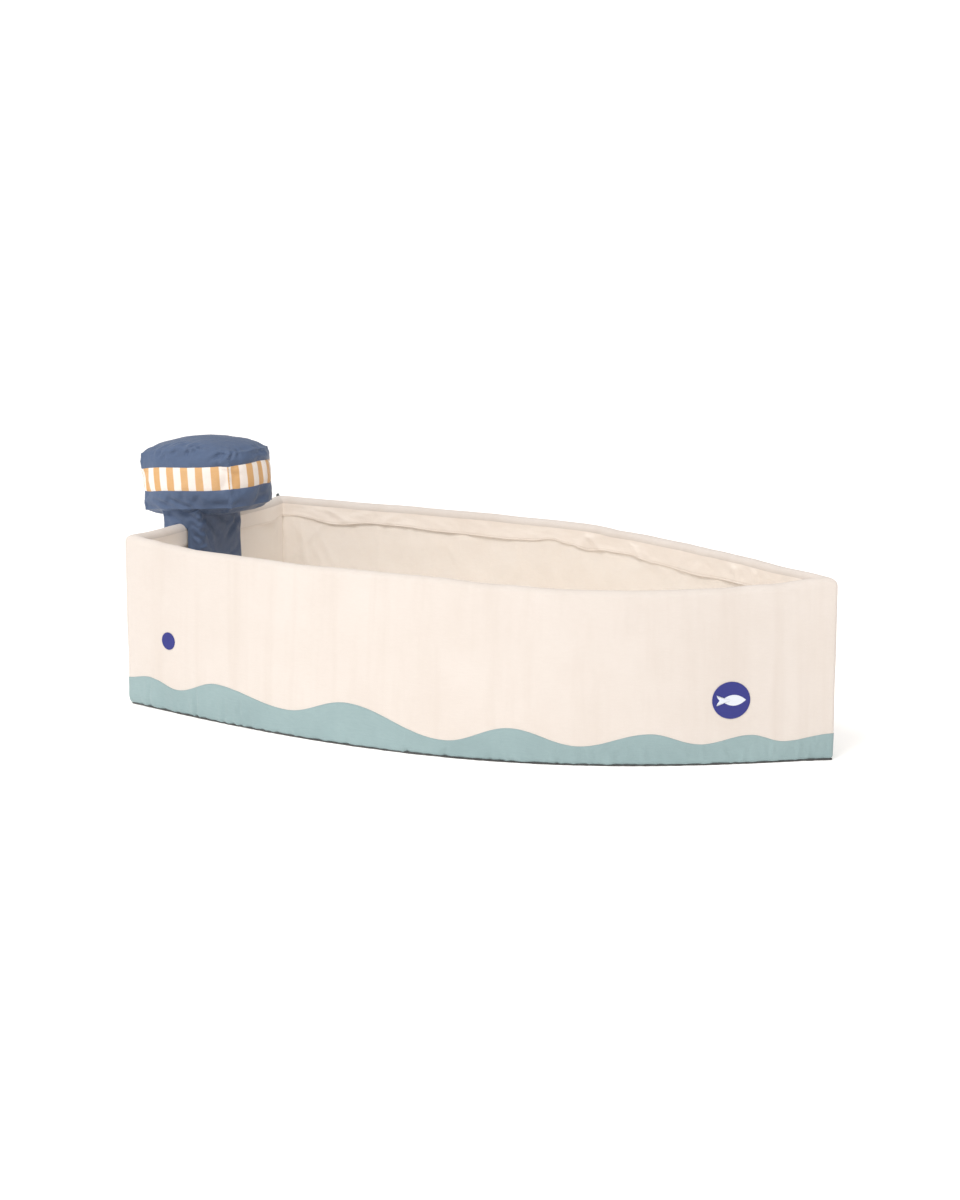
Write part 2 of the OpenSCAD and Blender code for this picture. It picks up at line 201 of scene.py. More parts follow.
def cloth(name, colour, dark, pitch=0.0009, rough=0.85, sheen=0.25, weave_depth=0.35, crumple=0.25,
          crumple_scale=28.0, mottle=0.35, sheen_tint=(1, 1, 1, 1), stripes=None, streak=0.0):
    """Woven cloth: threads, slubs, soft wrinkles and a little uneven dye."""
    m = Nodes(name)
    weave = m.weave(pitch)
    blotch = m.noise(9.0, 4.0, 0.55)
    slub = m.noise(260.0, 2.0, 0.5, vector=m.uv.outputs[0], stretch=(0.25, 1.6, 1))
    base = colour
    if stripes is not None:
        width, gap, colour_b, phase = stripes
        sep = m.node("ShaderNodeSeparateXYZ", {0: m.uv.outputs[0]})
        wander = m.math("MULTIPLY", m.math("SUBTRACT", m.noise(40.0, 2.0), 0.5), 0.0012)
        s = m.math("ADD", m.math("ADD", sep.outputs[0], phase), wander)
        s = m.math("MODULO", m.math("ADD", s, (width + gap)*40), width + gap)
        edge = 0.0005
        up = m.ramp(s, 0.0, edge)
        down = m.ramp(s, width, width + edge, 1.0, 0.0)
        base = m.mix(m.math("MULTIPLY", up, down), colour, colour_b)
    tone = m.ramp(m.math("ADD", m.math("MULTIPLY", blotch, 0.7), m.math("MULTIPLY", slub, 0.3)), 0.35, 0.65)
    shade = m.mix(m.math("MULTIPLY", tone, mottle if stripes is None else mottle*0.4), base, dark)
    if streak:
        runs = m.ramp(m.noise(1.0, 3.0, 0.55, stretch=(34, 34, 1.6)), 0.45, 0.75)
        shade = m.mix(m.math("MULTIPLY", runs, streak), shade, dark)
    threads = m.ramp(weave, 0.0, 1.0, 0.86, 1.0)
    tinted = m.node("ShaderNodeVectorMath", {0: shade, "Scale": threads}, operation="SCALE")
    m.link(tinted.outputs[0], m.shader.inputs["Base Color"])
    m.link(m.ramp(blotch, 0.3, 0.7, rough - 0.06, rough + 0.05), m.shader.inputs["Roughness"])
    fine = m.node("ShaderNodeBump", {"Height": m.math("ADD", weave, m.math("MULTIPLY", slub, 0.6)),
                                     "Strength": weave_depth, "Distance": 0.00025})
    soft = m.node("ShaderNodeBump", {"Height": m.noise(crumple_scale, 5.0, 0.55), "Strength": crumple,
                                     "Distance": 0.006, "Normal": fine.outputs[0]})
    m.link(soft.outputs[0], m.shader.inputs["Normal"])
    m.shader.inputs["Sheen Weight"].default_value = sheen
    m.shader.inputs["Sheen Roughness"].default_value = 0.45
    m.shader.inputs["Sheen Tint"].default_value = sheen_tint
    m.shader.inputs["Specular IOR Level"].default_value = 0.25
    return m.mat


CREAM = cloth("cream_cotton", lin(226, 217, 210), lin(217, 206, 197), crumple=0.14, mottle=0.5, streak=0.6)
# The lining and the facing are a brighter cream than the cover, set high to brighten the inner walls and the floor
# pad: painted light. The facing is the cover's own cloth turned in.
LINING = cloth("lining_cotton_painted_light", lin(254, 247, 239), lin(247, 236, 225), crumple=0.25, mottle=0.5)
FACING = cloth("facing_cotton_painted_light", lin(252, 243, 234), lin(246, 234, 223), crumple=0.22, mottle=0.5)
TEAL = cloth("teal_cotton", lin(155, 177, 179), lin(139, 160, 163), crumple=0.3, crumple_scale=45, mottle=0.6)
NAVY = cloth("navy_print", lin(61, 64, 135), lin(53, 57, 124), sheen=0.05, crumple=0.05, mottle=0.4)
PALE = cloth("pale_print", lin(226, 231, 240), lin(214, 220, 232), sheen=0.05, crumple=0.05, mottle=0.4)
# The base cloth's dark grey is partly its own colour and partly painted shadow: its rolled seam makes the dark line
# along the foot of the walls.
BASE = cloth("base_canvas_and_painted_shadow", lin(84, 84, 84), lin(66, 66, 66), pitch=0.0016, weave_depth=0.6, mottle=0.7)
RIBBON = cloth("ribbon", lin(122, 129, 130), lin(104, 111, 114), pitch=0.0007, weave_depth=0.6)
BLUE = cloth("blue_cloth", lin(88, 105, 135), lin(75, 91, 119), pitch=0.0006, rough=0.46, sheen=0.08,
             weave_depth=0.25, crumple=0.4, crumple_scale=34, mottle=0.45, sheen_tint=(0.75, 0.82, 1, 1))
STRIPED = cloth("striped_cloth", lin(250, 241, 235), lin(236, 222, 206), pitch=0.0007, rough=0.75,
                weave_depth=0.3, crumple=0.3, stripes=(0.0149, 0.0151, lin(222, 172, 112), 0.0))
THREAD_CREAM = cloth("cream_thread", lin(226, 211, 194), lin(214, 198, 180), pitch=0.0004, crumple=0)
THREAD_BLUE = cloth("blue_thread", lin(138, 150, 172), lin(124, 137, 160), pitch=0.0004, crumple=0)
TAPE = cloth("closing_tape", lin(232, 222, 208), lin(222, 210, 196), pitch=0.0012, weave_depth=0.8, sheen=0.5)

# ---------------------------------------------------------------- hull surfaces
LENGTH, HALF, WALL_H, LEAN, SAG = 1.2, 0.241, 0.290, 0.028, 0.006
RIM_D, RIM_Z, RIM_R = 0.0124, 0.2786, 0.0114
COVER_D, WALL_T = 0.001, 0.0268
PLAN = np.array([[0, HALF], [0.58*LENGTH, 1.7*HALF], [0.783*LENGTH, 0.95*HALF], [LENGTH, 0]])
SIDE_WAVE = [(0, 48), (0.038, 55), (0.090, 42), (0.165, 66), (0.293, 45), (0.389, 72), (0.54, 29),
             (0.629, 57), (0.718, 32), (0.803, 53), (0.861, 35), (0.914, 48), (0.951, 35), (1, 45)]
STERN_WAVE = [(0, 47), (0.2, 62), (0.42, 40), (0.62, 64), (0.83, 42), (1, 47)]
# How far the rim stands above or below its even sag: hull x in mm, then mm
RIM_STARBOARD = [(0, 6), (30, 3), (70, 0), (140, -2), (300, 0), (540, 4), (620, 4), (740, 0), (860, -4), (950, -5),
                 (1060, -3), (1130, 1), (1200, 10)]
RIM_PORT = [(0, 2), (140, 1), (300, 3), (460, 5), (640, 8), (720, 5), (900, 4), (1080, 6), (1200, 10)]
# Depth of the facing below the rim along the port side: hull x in mm, then mm
HEM_PORT = [(0, 34), (26, 32), (100, 41), (178, 34), (235, 35), (320, 39), (456, 41), (510, 39), (565, 33),
            (610, 39), (645, 45), (690, 38), (745, 37), (800, 44), (910, 48), (1000, 45), (1200, 46)]
HEM_STARBOARD = [(0, 35), (90, 40), (200, 36), (340, 42), (470, 38), (600, 44), (720, 39), (860, 46),
                 (1000, 44), (1200, 46)]
N_SIDE, N_STERN = 300, 96


def clustered(n):
    """n numbers from 0 up to 1, closer together near both ends."""
    u = np.arange(n)/n
    return u - 0.5*np.sin(2*np.pi*u)/(2*np.pi)


def curve(t):
    """The port half of the plan, a cubic curve from the stern (t = 0) to the bow (t = 1)."""
    t = np.asarray(t)[..., None]
    return (1 - t)**3*PLAN[0] + 3*t*(1 - t)**2*PLAN[1] + 3*t*t*(1 - t)*PLAN[2] + t**3*PLAN[3]


def slope(t):
    t = np.asarray(t)[..., None]
    return 3*(1 - t)**2*(PLAN[1] - PLAN[0]) + 6*t*(1 - t)*(PLAN[2] - PLAN[1]) + 3*t*t*(PLAN[3] - PLAN[2])


def inset(d, t):
    """The plan's curve moved inwards by d."""
    s = slope(t)
    n = np.stack([s[..., 1], -s[..., 0]], -1)/np.linalg.norm(s, axis=-1, keepdims=True)
    return curve(t) + np.asarray(d)[..., None]*n


def solve(f, low, high):
    """Where f, which rises, crosses zero."""
    for _ in range(40):
        mid = (low + high)/2
        low, high = (low, mid) if f(mid) > 0 else (mid, high)
    return (low + high)/2


def t_range(d):
    """Where the curve at depth d starts, on the stern's plane at the same depth, and where it meets the middle."""
    return solve(lambda t: inset(d, t)[0] - d, 0, 0.2), solve(lambda t: -inset(d, t)[1], 0.6, 1)


U_SIDE, U_STERN = clustered(N_SIDE), clustered(N_STERN)
# The closed loop of columns: across the stern from starboard to port, port side to the bow, starboard side back
PART = np.concatenate([np.zeros(N_STERN), np.ones(N_SIDE), np.full(N_SIDE, 2)]).astype(int)
U = np.concatenate([U_STERN, U_SIDE, 1 - U_SIDE])
N_LOOP = len(U)


def raw_loop(d, z, dy=0.0):
    """The loop at depth d and height z, before its corners are rounded; d and z are one number each."""
    t0, t1 = t_range(d)
    out = np.zeros((N_LOOP, 3))
    half = inset(d, t0)[1]
    stern = PART == 0
    out[stern] = np.stack([np.full(stern.sum(), d), (2*U[stern] - 1)*half, np.full(stern.sum(), z)], -1)
    for part, sign in ((1, 1), (2, -1)):
        k = PART == part
        u = U[k]
        b = 4*u*(1 - u)*z/WALL_H
        p = inset(d + LEAN*b, t0 + u*(t1 - t0))
        out[k] = np.stack([p[:, 0], sign*p[:, 1], z - SAG*b], -1)
    return out


BASE_LOOP = raw_loop(0.0, 0.0)
STEP = np.linalg.norm(np.roll(BASE_LOOP, -1, 0) - BASE_LOOP, axis=1)
S = np.concatenate([[0], np.cumsum(STEP)[:-1]])
GIRTH = STEP.sum()
CORNERS = {"stern_starboard": 0, "stern_port": N_STERN, "bow": N_STERN + N_SIDE}


def gap_to(i):
    """Distance along the loop from every column to column i."""
    g = np.abs(S - S[i])
    return np.minimum(g, GIRTH - g)


def corner_blur(radius_stern, radius_bow):
    """A matrix that rounds the loop's corners, each within its own radius."""
    reach = np.zeros(N_LOOP)
    for name, i in CORNERS.items():
        r = radius_bow if name == "bow" else radius_stern
        reach = np.maximum(reach, r*np.clip(1.6 - gap_to(i)/r*0.8, 0, 1)*0.62)
    w = np.zeros((N_LOOP, N_LOOP))
    width = (STEP + np.roll(STEP, 1))/2
    for i in range(N_LOOP):
        if reach[i] < 2e-4:
            w[i, i] = 1
            continue
        k = np.exp(-(gap_to(i)/reach[i])**2)*width
        w[i] = k/k.sum()
    return w


BLUR_OUT, BLUR_IN = corner_blur(0.0045, 0.0035), corner_blur(0.0035, 0.003)
HULL_X = BASE_LOOP[:, 0]*1000
RIM_LIFT = np.where(PART == 2, knots(RIM_STARBOARD, HULL_X), knots(RIM_PORT, HULL_X))/1000
RIM_LIFT[PART == 0] = knots([(0, 6), (0.08, 5), (0.5, 4), (1, 2)], U[PART == 0])/1000


def bulge(corner, size, reach):
    """How far the cloth stands out round a corner, for every column."""
    return size*np.exp(-(gap_to(CORNERS[corner])/reach)**2)


FLARE_STARBOARD = bulge("stern_starboard", 0.0085, 0.055)
FLARE_PORT = bulge("stern_port", 0.0065, 0.05)
FLARE_BOW = bulge("bow", 0.0055, 0.03)


def surface(path, blur):
    """Points (rows, loop, 3) of a layer, in hull coordinates. path is a list of (depth, height)."""
    rows = []
    for d, z in path:
        p = raw_loop(max(d, 0.0), z)
        p[:, :2] = blur @ p[:, :2]
        p[:, 2] += RIM_LIFT*smooth((z - 0.05)/0.2)
        # the stern corners lean out, a little more at the top on the starboard side
        flare = FLARE_STARBOARD*smooth((z + 0.012)/0.03)*(0.75 + 0.25*z/WALL_H)
        p[:, :2] += flare[:, None]*np.array([-0.86, -0.51])
        flare = FLARE_PORT*smooth((z + 0.004)/0.03)
        p[:, :2] += flare[:, None]*np.array([-0.95, 0.30])
        p[:, 0] += FLARE_BOW
        rows.append(p)
    return np.array(rows)


def outward(pts):
    """Horizontal unit normals away from the inside of the hull."""
    d = np.roll(pts, -1, 1) - np.roll(pts, 1, 1)
    n = np.stack([d[..., 1], -d[..., 0], np.zeros(d.shape[:2])], -1)
    return -n/np.linalg.norm(n, axis=-1, keepdims=True)


CLOTH_XY = np.stack([BASE_LOOP[:, 0], BASE_LOOP[:, 1], np.zeros(N_LOOP)], -1)


def loop_xyz(z, squash_z=1.0):
    """Coordinates for noise at each column and height: along the loop in x and y, up in z."""
    z = np.asarray(z)
    if z.ndim == 1:
        z = np.repeat(z[:, None], N_LOOP, 1)
    p = np.repeat(CLOTH_XY[None], z.shape[0], 0).copy()
    p[..., 2] = z*squash_z
    return p


NEAR_STERN = np.exp(-(HULL_X/260)**2)*(PART > 0)
# Narrow tucks over the rim: hull x in mm, then the part of the loop
RIM_TUCKS = ((681, 2), (784, 2), (300, 1), (640, 1), (706, 1))
# Tucks that rise from the base seam on both sides: hull x in mm, reach and depth in m, slant
FOOT_TUCKS = ((44, 0.045, 0.0016, 0.1), (154, 0.05, 0.0022, -0.06), (216, 0.035, 0.0019, 0.05),
              (254, 0.045, 0.0022, -0.1), (330, 0.02, 0.0012, 0.1), (470, 0.02, 0.0012, 0),
              (583, 0.028, 0.0018, 0.2), (651, 0.024, 0.0016, -0.15), (724, 0.03, 0.0017, 0.15),
              (760, 0.018, 0.0013, 0), (832, 0.024, 0.0015, -0.1), (980, 0.02, 0.0010, 0.1), (1120, 0.02, 0.0012, 0))


def outer_push(z):
    """How far the outer cloth stands out (metres) at heights z (rows) for every column."""
    z = np.asarray(z)
    zz = np.repeat(z[:, None], N_LOOP, 1) if z.ndim == 1 else z
    # broad unevenness, upright streaks, puckers and small wrinkles at the foot, and an uneven rim
    push = fbm(loop_xyz(zz), (0.16, 0.16, 0.12), 1, 2)*0.0011
    push += fbm(loop_xyz(zz, 0.16), (0.022, 0.022, 0.03), 2, 3)*0.0006*(0.25 + NEAR_STERN)
    push += (ridges(loop_xyz(zz, 0.3), (0.030, 0.030, 0.030), 3) - 0.3)*0.0024*np.exp(-(zz/0.034)**2)
    push += fbm(loop_xyz(zz, 0.45), (0.011, 0.011, 0.012), 4, 2)*0.0012*np.exp(-(zz/0.024)**2)
    push += fbm(loop_xyz(zz), (0.045, 0.045, 0.03), 5, 2)*0.0007*smooth((zz - 0.255)/0.03)
    for hull_x, part in RIM_TUCKS:
        k = np.where(PART == part, np.exp(-((HULL_X - hull_x)/5.0)**2), 0)
        push = push - 0.0016*k*smooth((zz - 0.262)/0.02)
    for hull_x, reach, depth, slant in FOOT_TUCKS:
        off = (HULL_X[None] - hull_x - slant*1000*zz)/3.6
        k = np.where(PART[None] > 0, np.exp(-off**2) - 0.5*np.exp(-((np.abs(off) - 2.0)/0.9)**2), 0)
        push = push - 1.5*depth*k*np.exp(-(zz/reach)**2)
    for i in CORNERS.values():
        g = gap_to(i)
        push = push - 0.0007*np.exp(-(g/0.0016)**2) + 0.0004*np.exp(-((g - 0.006)/0.004)**2)
    return push


def to_row(p):
    """From hull coordinates to the row frame."""
    q = p.copy()
    q[..., 0] += STERN
    return q


def columns(part):
    """Columns of one wall, ends included."""
    if part == 0:
        return np.arange(0, N_STERN + 1)
    if part == 1:
        return np.arange(N_STERN, N_STERN + N_SIDE + 1)
    return np.concatenate([np.arange(N_STERN + N_SIDE, N_LOOP), [0]])


WALLS = (("transom", 0), ("port", 1), ("starboard", 2))


def lengths(line):
    """Distance of each point from the first one, along a polyline."""
    return np.concatenate([[0], np.cumsum(np.linalg.norm(np.diff(line, axis=0), axis=1))])


def wall_uv(pts):
    """UV in metres: along the wall, and across it."""
    return np.stack(np.meshgrid(lengths(pts[len(pts)//3]), lengths(pts[:, pts.shape[1]//2])), -1)


def split_walls(kind, pts, mat, flip=False):
    """Cuts a layer of the whole loop into one piece for each wall."""
    out = {}
    for wall, part in WALLS:
        piece = pts[:, columns(part)]
        out[wall] = add_grid(f"{wall}_{kind}_piece", to_row(piece), mat, wall_uv(piece), flip=flip)
    return out


# outer cloth: turned in at the base, up the wall and over the rim
RIM_ROWS, RIM_R_INSIDE = 17, 0.0132
turn_in = [(0.0085, 0.0024), (0.0058, 0.0026), (0.0036, 0.0034), (0.0021, 0.0050), (0.0013, 0.0075)]
wall_rows = [(COVER_D, z) for z in np.linspace(0.011, RIM_Z - 0.004, 45)]
rim_rows = [(RIM_D - (RIM_R if a < math.pi/2 else RIM_R_INSIDE)*math.cos(a), RIM_Z + RIM_R*math.sin(a))
            for a in np.linspace(0, math.pi, RIM_ROWS)]
cover_path = turn_in + wall_rows + rim_rows
cover = surface(cover_path, BLUR_OUT)
heights = np.array([z for d, z in cover_path])
amount = np.ones(len(cover_path))
amount[-RIM_ROWS:] = np.linspace(1, 0.25, RIM_ROWS)
cover = cover + outward(cover)*(outer_push(heights)*amount[:, None])[..., None]
# the rim's own unevenness
rim_wave = fbm(loop_xyz(heights), (0.11, 0.11, 0.2), 6, 3)*0.0010
cover[..., 2] += rim_wave*smooth((heights - 0.24)/0.04)[:, None]
covers = split_walls("cover", cover, CREAM, flip=True)

# wave bands, a print that stands a little proud of the cover
WAVE_Z = np.where(PART == 0, knots(STERN_WAVE, U), knots(SIDE_WAVE, HULL_X/1200))/1000
BAND_FOOT, BAND_ROWS = 0.0105, 16
band = [surface([(d, z - 0.0004)], BLUR_OUT)[0] for d, z in turn_in]
zs = [np.full(N_LOOP, z) for d, z in turn_in]
levels = np.linspace(0.008, 0.084, 20)
stack = surface([(COVER_D, z) for z in levels], BLUR_OUT)
col = np.arange(N_LOOP)
for k in np.linspace(0, 1, BAND_ROWS):
    z = BAND_FOOT + (WAVE_Z - BAND_FOOT)*k
    zs.append(z)
    place = np.clip((z - levels[0])/(levels[1] - levels[0]), 0, len(levels) - 1.001)
    below = place.astype(int)
    f = (place - below)[:, None]
    band.append(stack[below, col]*(1 - f) + stack[below + 1, col]*f)
zs = np.array(zs)
band = np.array(band)
band_n = outward(band)
band = band + band_n*(outer_push(zs) + 0.0007)[..., None]
edge_in = band[-1] - band_n[-1]*0.0009
edge_in[:, 2] += 0.0002
band = np.concatenate([band, edge_in[None]])
waves = split_walls("wave", band, TEAL, flip=True)

BELOW_RIM = 0.22


def near_rim(d):
    """The inner surface at depth d near the rim: its low line, and a function of a height for each column."""
    low, high = surface([(d, BELOW_RIM)], BLUR_IN)[0], surface([(d, RIM_Z)], BLUR_IN)[0]

    def at(z):
        f = ((z - BELOW_RIM)/(RIM_Z - BELOW_RIM))[:, None]
        return low*(1 - f) + high*f
    return low, at


# facing: from the end of the rim down to a loose hem that turns back up
HEM = np.where(PART == 1, knots(HEM_PORT, HULL_X), knots(HEM_STARBOARD, HULL_X))/1000
HEM[PART == 0] = knots([(0, 35), (0.12, 39), (0.3, 36), (0.7, 37), (0.9, 39), (1, 34)], U[PART == 0])/1000
MOTOR_SIDE = -0.037
# 1 in the columns of the stern that lie under the motor's leg
under_leg = np.where(PART == 0, smooth(1 - (np.abs((2*U - 1)*0.22 - MOTOR_SIDE) - 0.078)/0.02), 0)
stand = 0.0007 + 0.0022*np.clip(fbm(loop_xyz(np.array([0.25])), (0.09, 0.09, 0.09), 8, 2)[0] + 0.35, 0, 1)
stand = stand*(1 - under_leg)
for i in CORNERS.values():
    stand = stand*(1 - np.exp(-(gap_to(i)/0.02)**2))
FACING_D, HEM_R, FACE_ROWS = 0.0256, 0.0009, 20
# Pleats in the facing: hull x in mm, slant, depth in m, width in mm
PLEATS = ((760, 0.35, 0.0022, 6), (1010, 0.2, 0.0020, 7), (1060, 0.1, 0.0018, 6), (640, -0.5, 0.0018, 9),
          (660, 0.6, 0.0016, 7), (110, 0.9, 0.0014, 12), (215, -0.4, 0.0012, 10), (420, 0.2, 0.0010, 12))
ks = np.linspace(0, 1, FACE_ROWS)
facing = []
top = cover[-1]
inner_low, inner_at = near_rim(FACING_D)
n_in = -outward(inner_low[None])[0]
ripple = fbm(loop_xyz(ks*0.045), (0.040, 0.040, 0.05), 9, 3)*0.0014
pleat = np.zeros((FACE_ROWS, N_LOOP))
for hull_x, slant, depth, width in PLEATS:
    x = HULL_X[None] - hull_x - slant*60*(ks[:, None] - 0.5)
    pleat += np.where(PART[None] > 0, np.exp(-(x/width)**2)*depth, 0)*smooth(ks*3)[:, None]
for j, k in enumerate(ks):
    p = inner_at(RIM_Z - k*(HEM - (WALL_H - RIM_Z)))
    out = stand*k**1.5 + (ripple[j] + pleat[j])*smooth(k*4)*(1 - 0.9*under_leg)
    p = p + n_in*np.maximum(out, -0.0002)[:, None]
    b = smooth(k*5)
    facing.append(top*(1 - b) + p*b)
# the hem rolls back, then runs up behind the facing
end = facing[-1]
for a in np.linspace(0.35, math.pi, 5):
    roll = end - n_in*(HEM_R*(1 - math.cos(a)))
    roll[:, 2] -= HEM_R*math.sin(a)
    facing.append(roll)
tuck = facing[-1] - n_in*0.0002
tuck[:, 2] += 0.012
facing = np.array(facing + [tuck])
facings = split_walls("facing", facing, FACING, flip=True)

# closing tape between facing and lining, a little above the hem
tape = []
for d, k in ((0.0242, 0.0), (0.0242, 1.0), (0.0250, 1.0), (0.0250, 0.0)):
    tape.append(near_rim(d)[1](WALL_H - HEM + 0.005 + 0.014*k))
tape = np.array(tape + [tape[0]])
tapes = split_walls("tape", tape, TAPE)


def stitches(name, line, side, mat, body, length=0.0032, gap=0.0014, width=0.0007, proud=0.0004):
    """Short raised threads along a polyline. side gives the surface's normal at each of its points."""
    line, side = np.asarray(line, float), np.asarray(side, float)
    s = lengths(line)
    n = int(s[-1]/(length + gap))
    verts, faces = [], []
    for q in range(n):
        ss = (q + np.array([0.08, 0.3, 0.7, 0.92]))*s[-1]/n
        ss = ss[0] + (ss - ss[0])*length/(ss[-1] - ss[0])
        c = np.stack([np.interp(ss, s, line[:, a]) for a in range(3)], -1)
        m = np.stack([np.interp(ss, s, side[:, a]) for a in range(3)], -1)
        d = c[-1] - c[0]
        across = np.cross(m[0], d)
        across /= np.linalg.norm(across) + 1e-9
        for i, (w, h) in enumerate(((0.25, -0.4), (1, 0.8), (1, 0.8), (0.25, -0.4))):
            mid = c[i] + m[i]*proud*h
            for a, b in ((-1, -0.3), (-0.5, 0.75), (0.5, 0.75), (1, -0.3)):
                verts.append(mid + across*a*w*width/2 + m[i]*b*w*width/2)
        o = len(verts) - 16
        for i in range(3):
            for a in range(4):
                b = (a + 1) % 4
                faces.append((o + 4*i + a, o + 4*i + b, o + 4*i + 4 + b, o + 4*i + 4 + a))
        faces += [(o + 3, o + 2, o + 1, o), (o + 12, o + 13, o + 14, o + 15)]
    uv = np.zeros((len(verts), 2))
    uv[:, 0] = np.arange(len(verts))*0.0001
    return add_mesh(name, verts, faces, mat, body, uv)


# topstitching along the hem
hem_line = facing[FACE_ROWS - 3]
for wall, part in WALLS:
    cols = columns(part)
    stitches(f"{wall}_hem_stitches", to_row(hem_line[cols]), n_in[cols], THREAD_CREAM, "hull")

# lining: from behind the facing down to the floor
lining_path = [(0.0236, z) for z in np.linspace(0.268, 0.014, 40)] + [(0.0246, 0.010), (0.027, 0.0075)]
lining = surface(lining_path, BLUR_IN)
lz = np.array([z for d, z in lining_path])
lpush = fbm(loop_xyz(lz), (0.12, 0.12, 0.10), 11, 3)*0.0018
lpush += ridges(loop_xyz(lz, 0.4), (0.075, 0.075, 0.06), 12)*0.0015
xx, zz = np.repeat(HULL_X[None], len(lz), 0), np.repeat(lz[:, None], N_LOOP, 1)
# Folds in the lining: hull x in mm, height in m, tilt, length in m, width in mm, depth in m
LINING_FOLDS = ((60, 0.225, -0.9, 0.05, 5, 0.0022), (44, 0.18, 0.15, 0.08, 6, 0.0020),
                (85, 0.20, 0.5, 0.04, 8, 0.0014), (560, 0.17, 0.02, 0.08, 8, 0.0013),
                (610, 0.19, 0.05, 0.06, 7, 0.0013), (700, 0.21, 0.1, 0.05, 9, 0.0012))
for hull_x, z0, tilt, length, width, depth in LINING_FOLDS:
    along = (zz - z0)/length
    off = (xx - hull_x - tilt*1000*(z0 - zz))/width
    lpush += np.where(PART[None] > 0, np.exp(-off**2 - along**2)*depth, 0)
for i in CORNERS.values():
    lpush -= 0.0016*np.exp(-(gap_to(i)/0.0022)**2)
lpush = np.minimum(lpush, 0.0026)*(1 - 0.8*under_leg[None])
lining = lining - outward(lining)*np.clip(lpush, -0.0012, 0.003)[..., None]
linings = split_walls("lining", lining, LINING, flip=True)


def spine(outline, low, high):
    """The point of the boat's middle line that each column of a floor-like skin runs in to."""
    return np.stack([np.clip(outline[:, 0], low, high), np.zeros(N_LOOP), np.zeros(N_LOOP)], -1)


# padded floor: a crowned quilt with a rolled edge and one channel across the fold
FOLD_X = 0.56
pad_out = surface([(WALL_T + 0.0012, 0.008)], BLUR_IN)[0]
pad_in = spine(pad_out, 0.10, 1.04)
rs = np.concatenate([[1.0, 1.0, 0.9985], 1 - np.linspace(0.004, 0.04, 7), np.linspace(0.94, 0.0, 24)])
rz = np.concatenate([[0.0022, 0.0045, 0.0064], np.linspace(0.0078, 0.0116, 7), np.full(24, 0.0118)])
pad = np.array([pad_in + (pad_out - pad_in)*r for r in rs])
pad[..., 2] = rz[:, None]
flatness = smooth((1 - rs)/0.03)[:, None]
quilt = fbm(pad, (0.12, 0.12, 0.12), 14, 3)*0.0011
channel = np.exp(-((pad[..., 0] - FOLD_X)/0.0045)**2)*0.0030
ring = np.exp(-((rs[:, None] - 0.93)/0.008)**2)*0.0018
pad[..., 2] += (quilt - channel - ring)*flatness
pad[..., 2] += ridges(pad, (0.05, 0.05, 0.05), 15)*0.0007*flatness*np.exp(-((pad[..., 0] - FOLD_X)/0.05)**2)
floor_pad = add_grid("floor_pad_piece", to_row(pad), LINING, pad[..., :2], closed=True)

# dark underside, with an uneven rolled seam round its edge; the seam's dark line along the foot of the walls is
# partly the base cloth's own colour and partly painted shadow
base_out = surface([(0.0055, 0.0)], BLUR_OUT)[0]
base_in = spine(base_out, 0.09, 1.06)
base = np.array([base_in + (base_out - base_in)*r for r in np.concatenate([[1.0], np.linspace(0.985, 0, 14)])])
base[..., 2] = 0.0004 + np.abs(fbm(base, (0.1, 0.1, 0.1), 16, 2))*0.0006
base_piece = add_grid("base_cloth_piece", to_row(base), BASE, base[..., :2], closed=True, flip=True)
seam_out = surface([(0.0030, 0.0)], BLUR_OUT)[0]
seam_n = outward(seam_out[None])[0]
wob = fbm(loop_xyz(np.array([0.0])), (0.05, 0.05, 0.05), 17, 3)[0]
wob2 = fbm(loop_xyz(np.array([0.0])), (0.012, 0.012, 0.012), 18, 2)[0]
seam = []
r = 0.0014 + 0.0007*wob2
for a in np.linspace(0, 2*math.pi, 11):
    p = seam_out + seam_n*(r*math.cos(a) + 0.0006*wob)[:, None]
    p[:, 2] = 0.0018 + 0.0006*wob + r*math.sin(a)*0.95
    seam.append(p)
seam = np.array(seam)
seam[..., 2] = np.maximum(seam[..., 2], 0.0001)
seam_uv = np.stack(np.meshgrid(S, np.linspace(0, 0.01, 11)), -1)
add_grid("base_seam_roll", to_row(seam), BASE, seam_uv, closed=True, flip=True)


# ---------------------------------------------------------------- round patches, fish signs and the ribbon tab
WALL_ROWS = slice(5, 50)


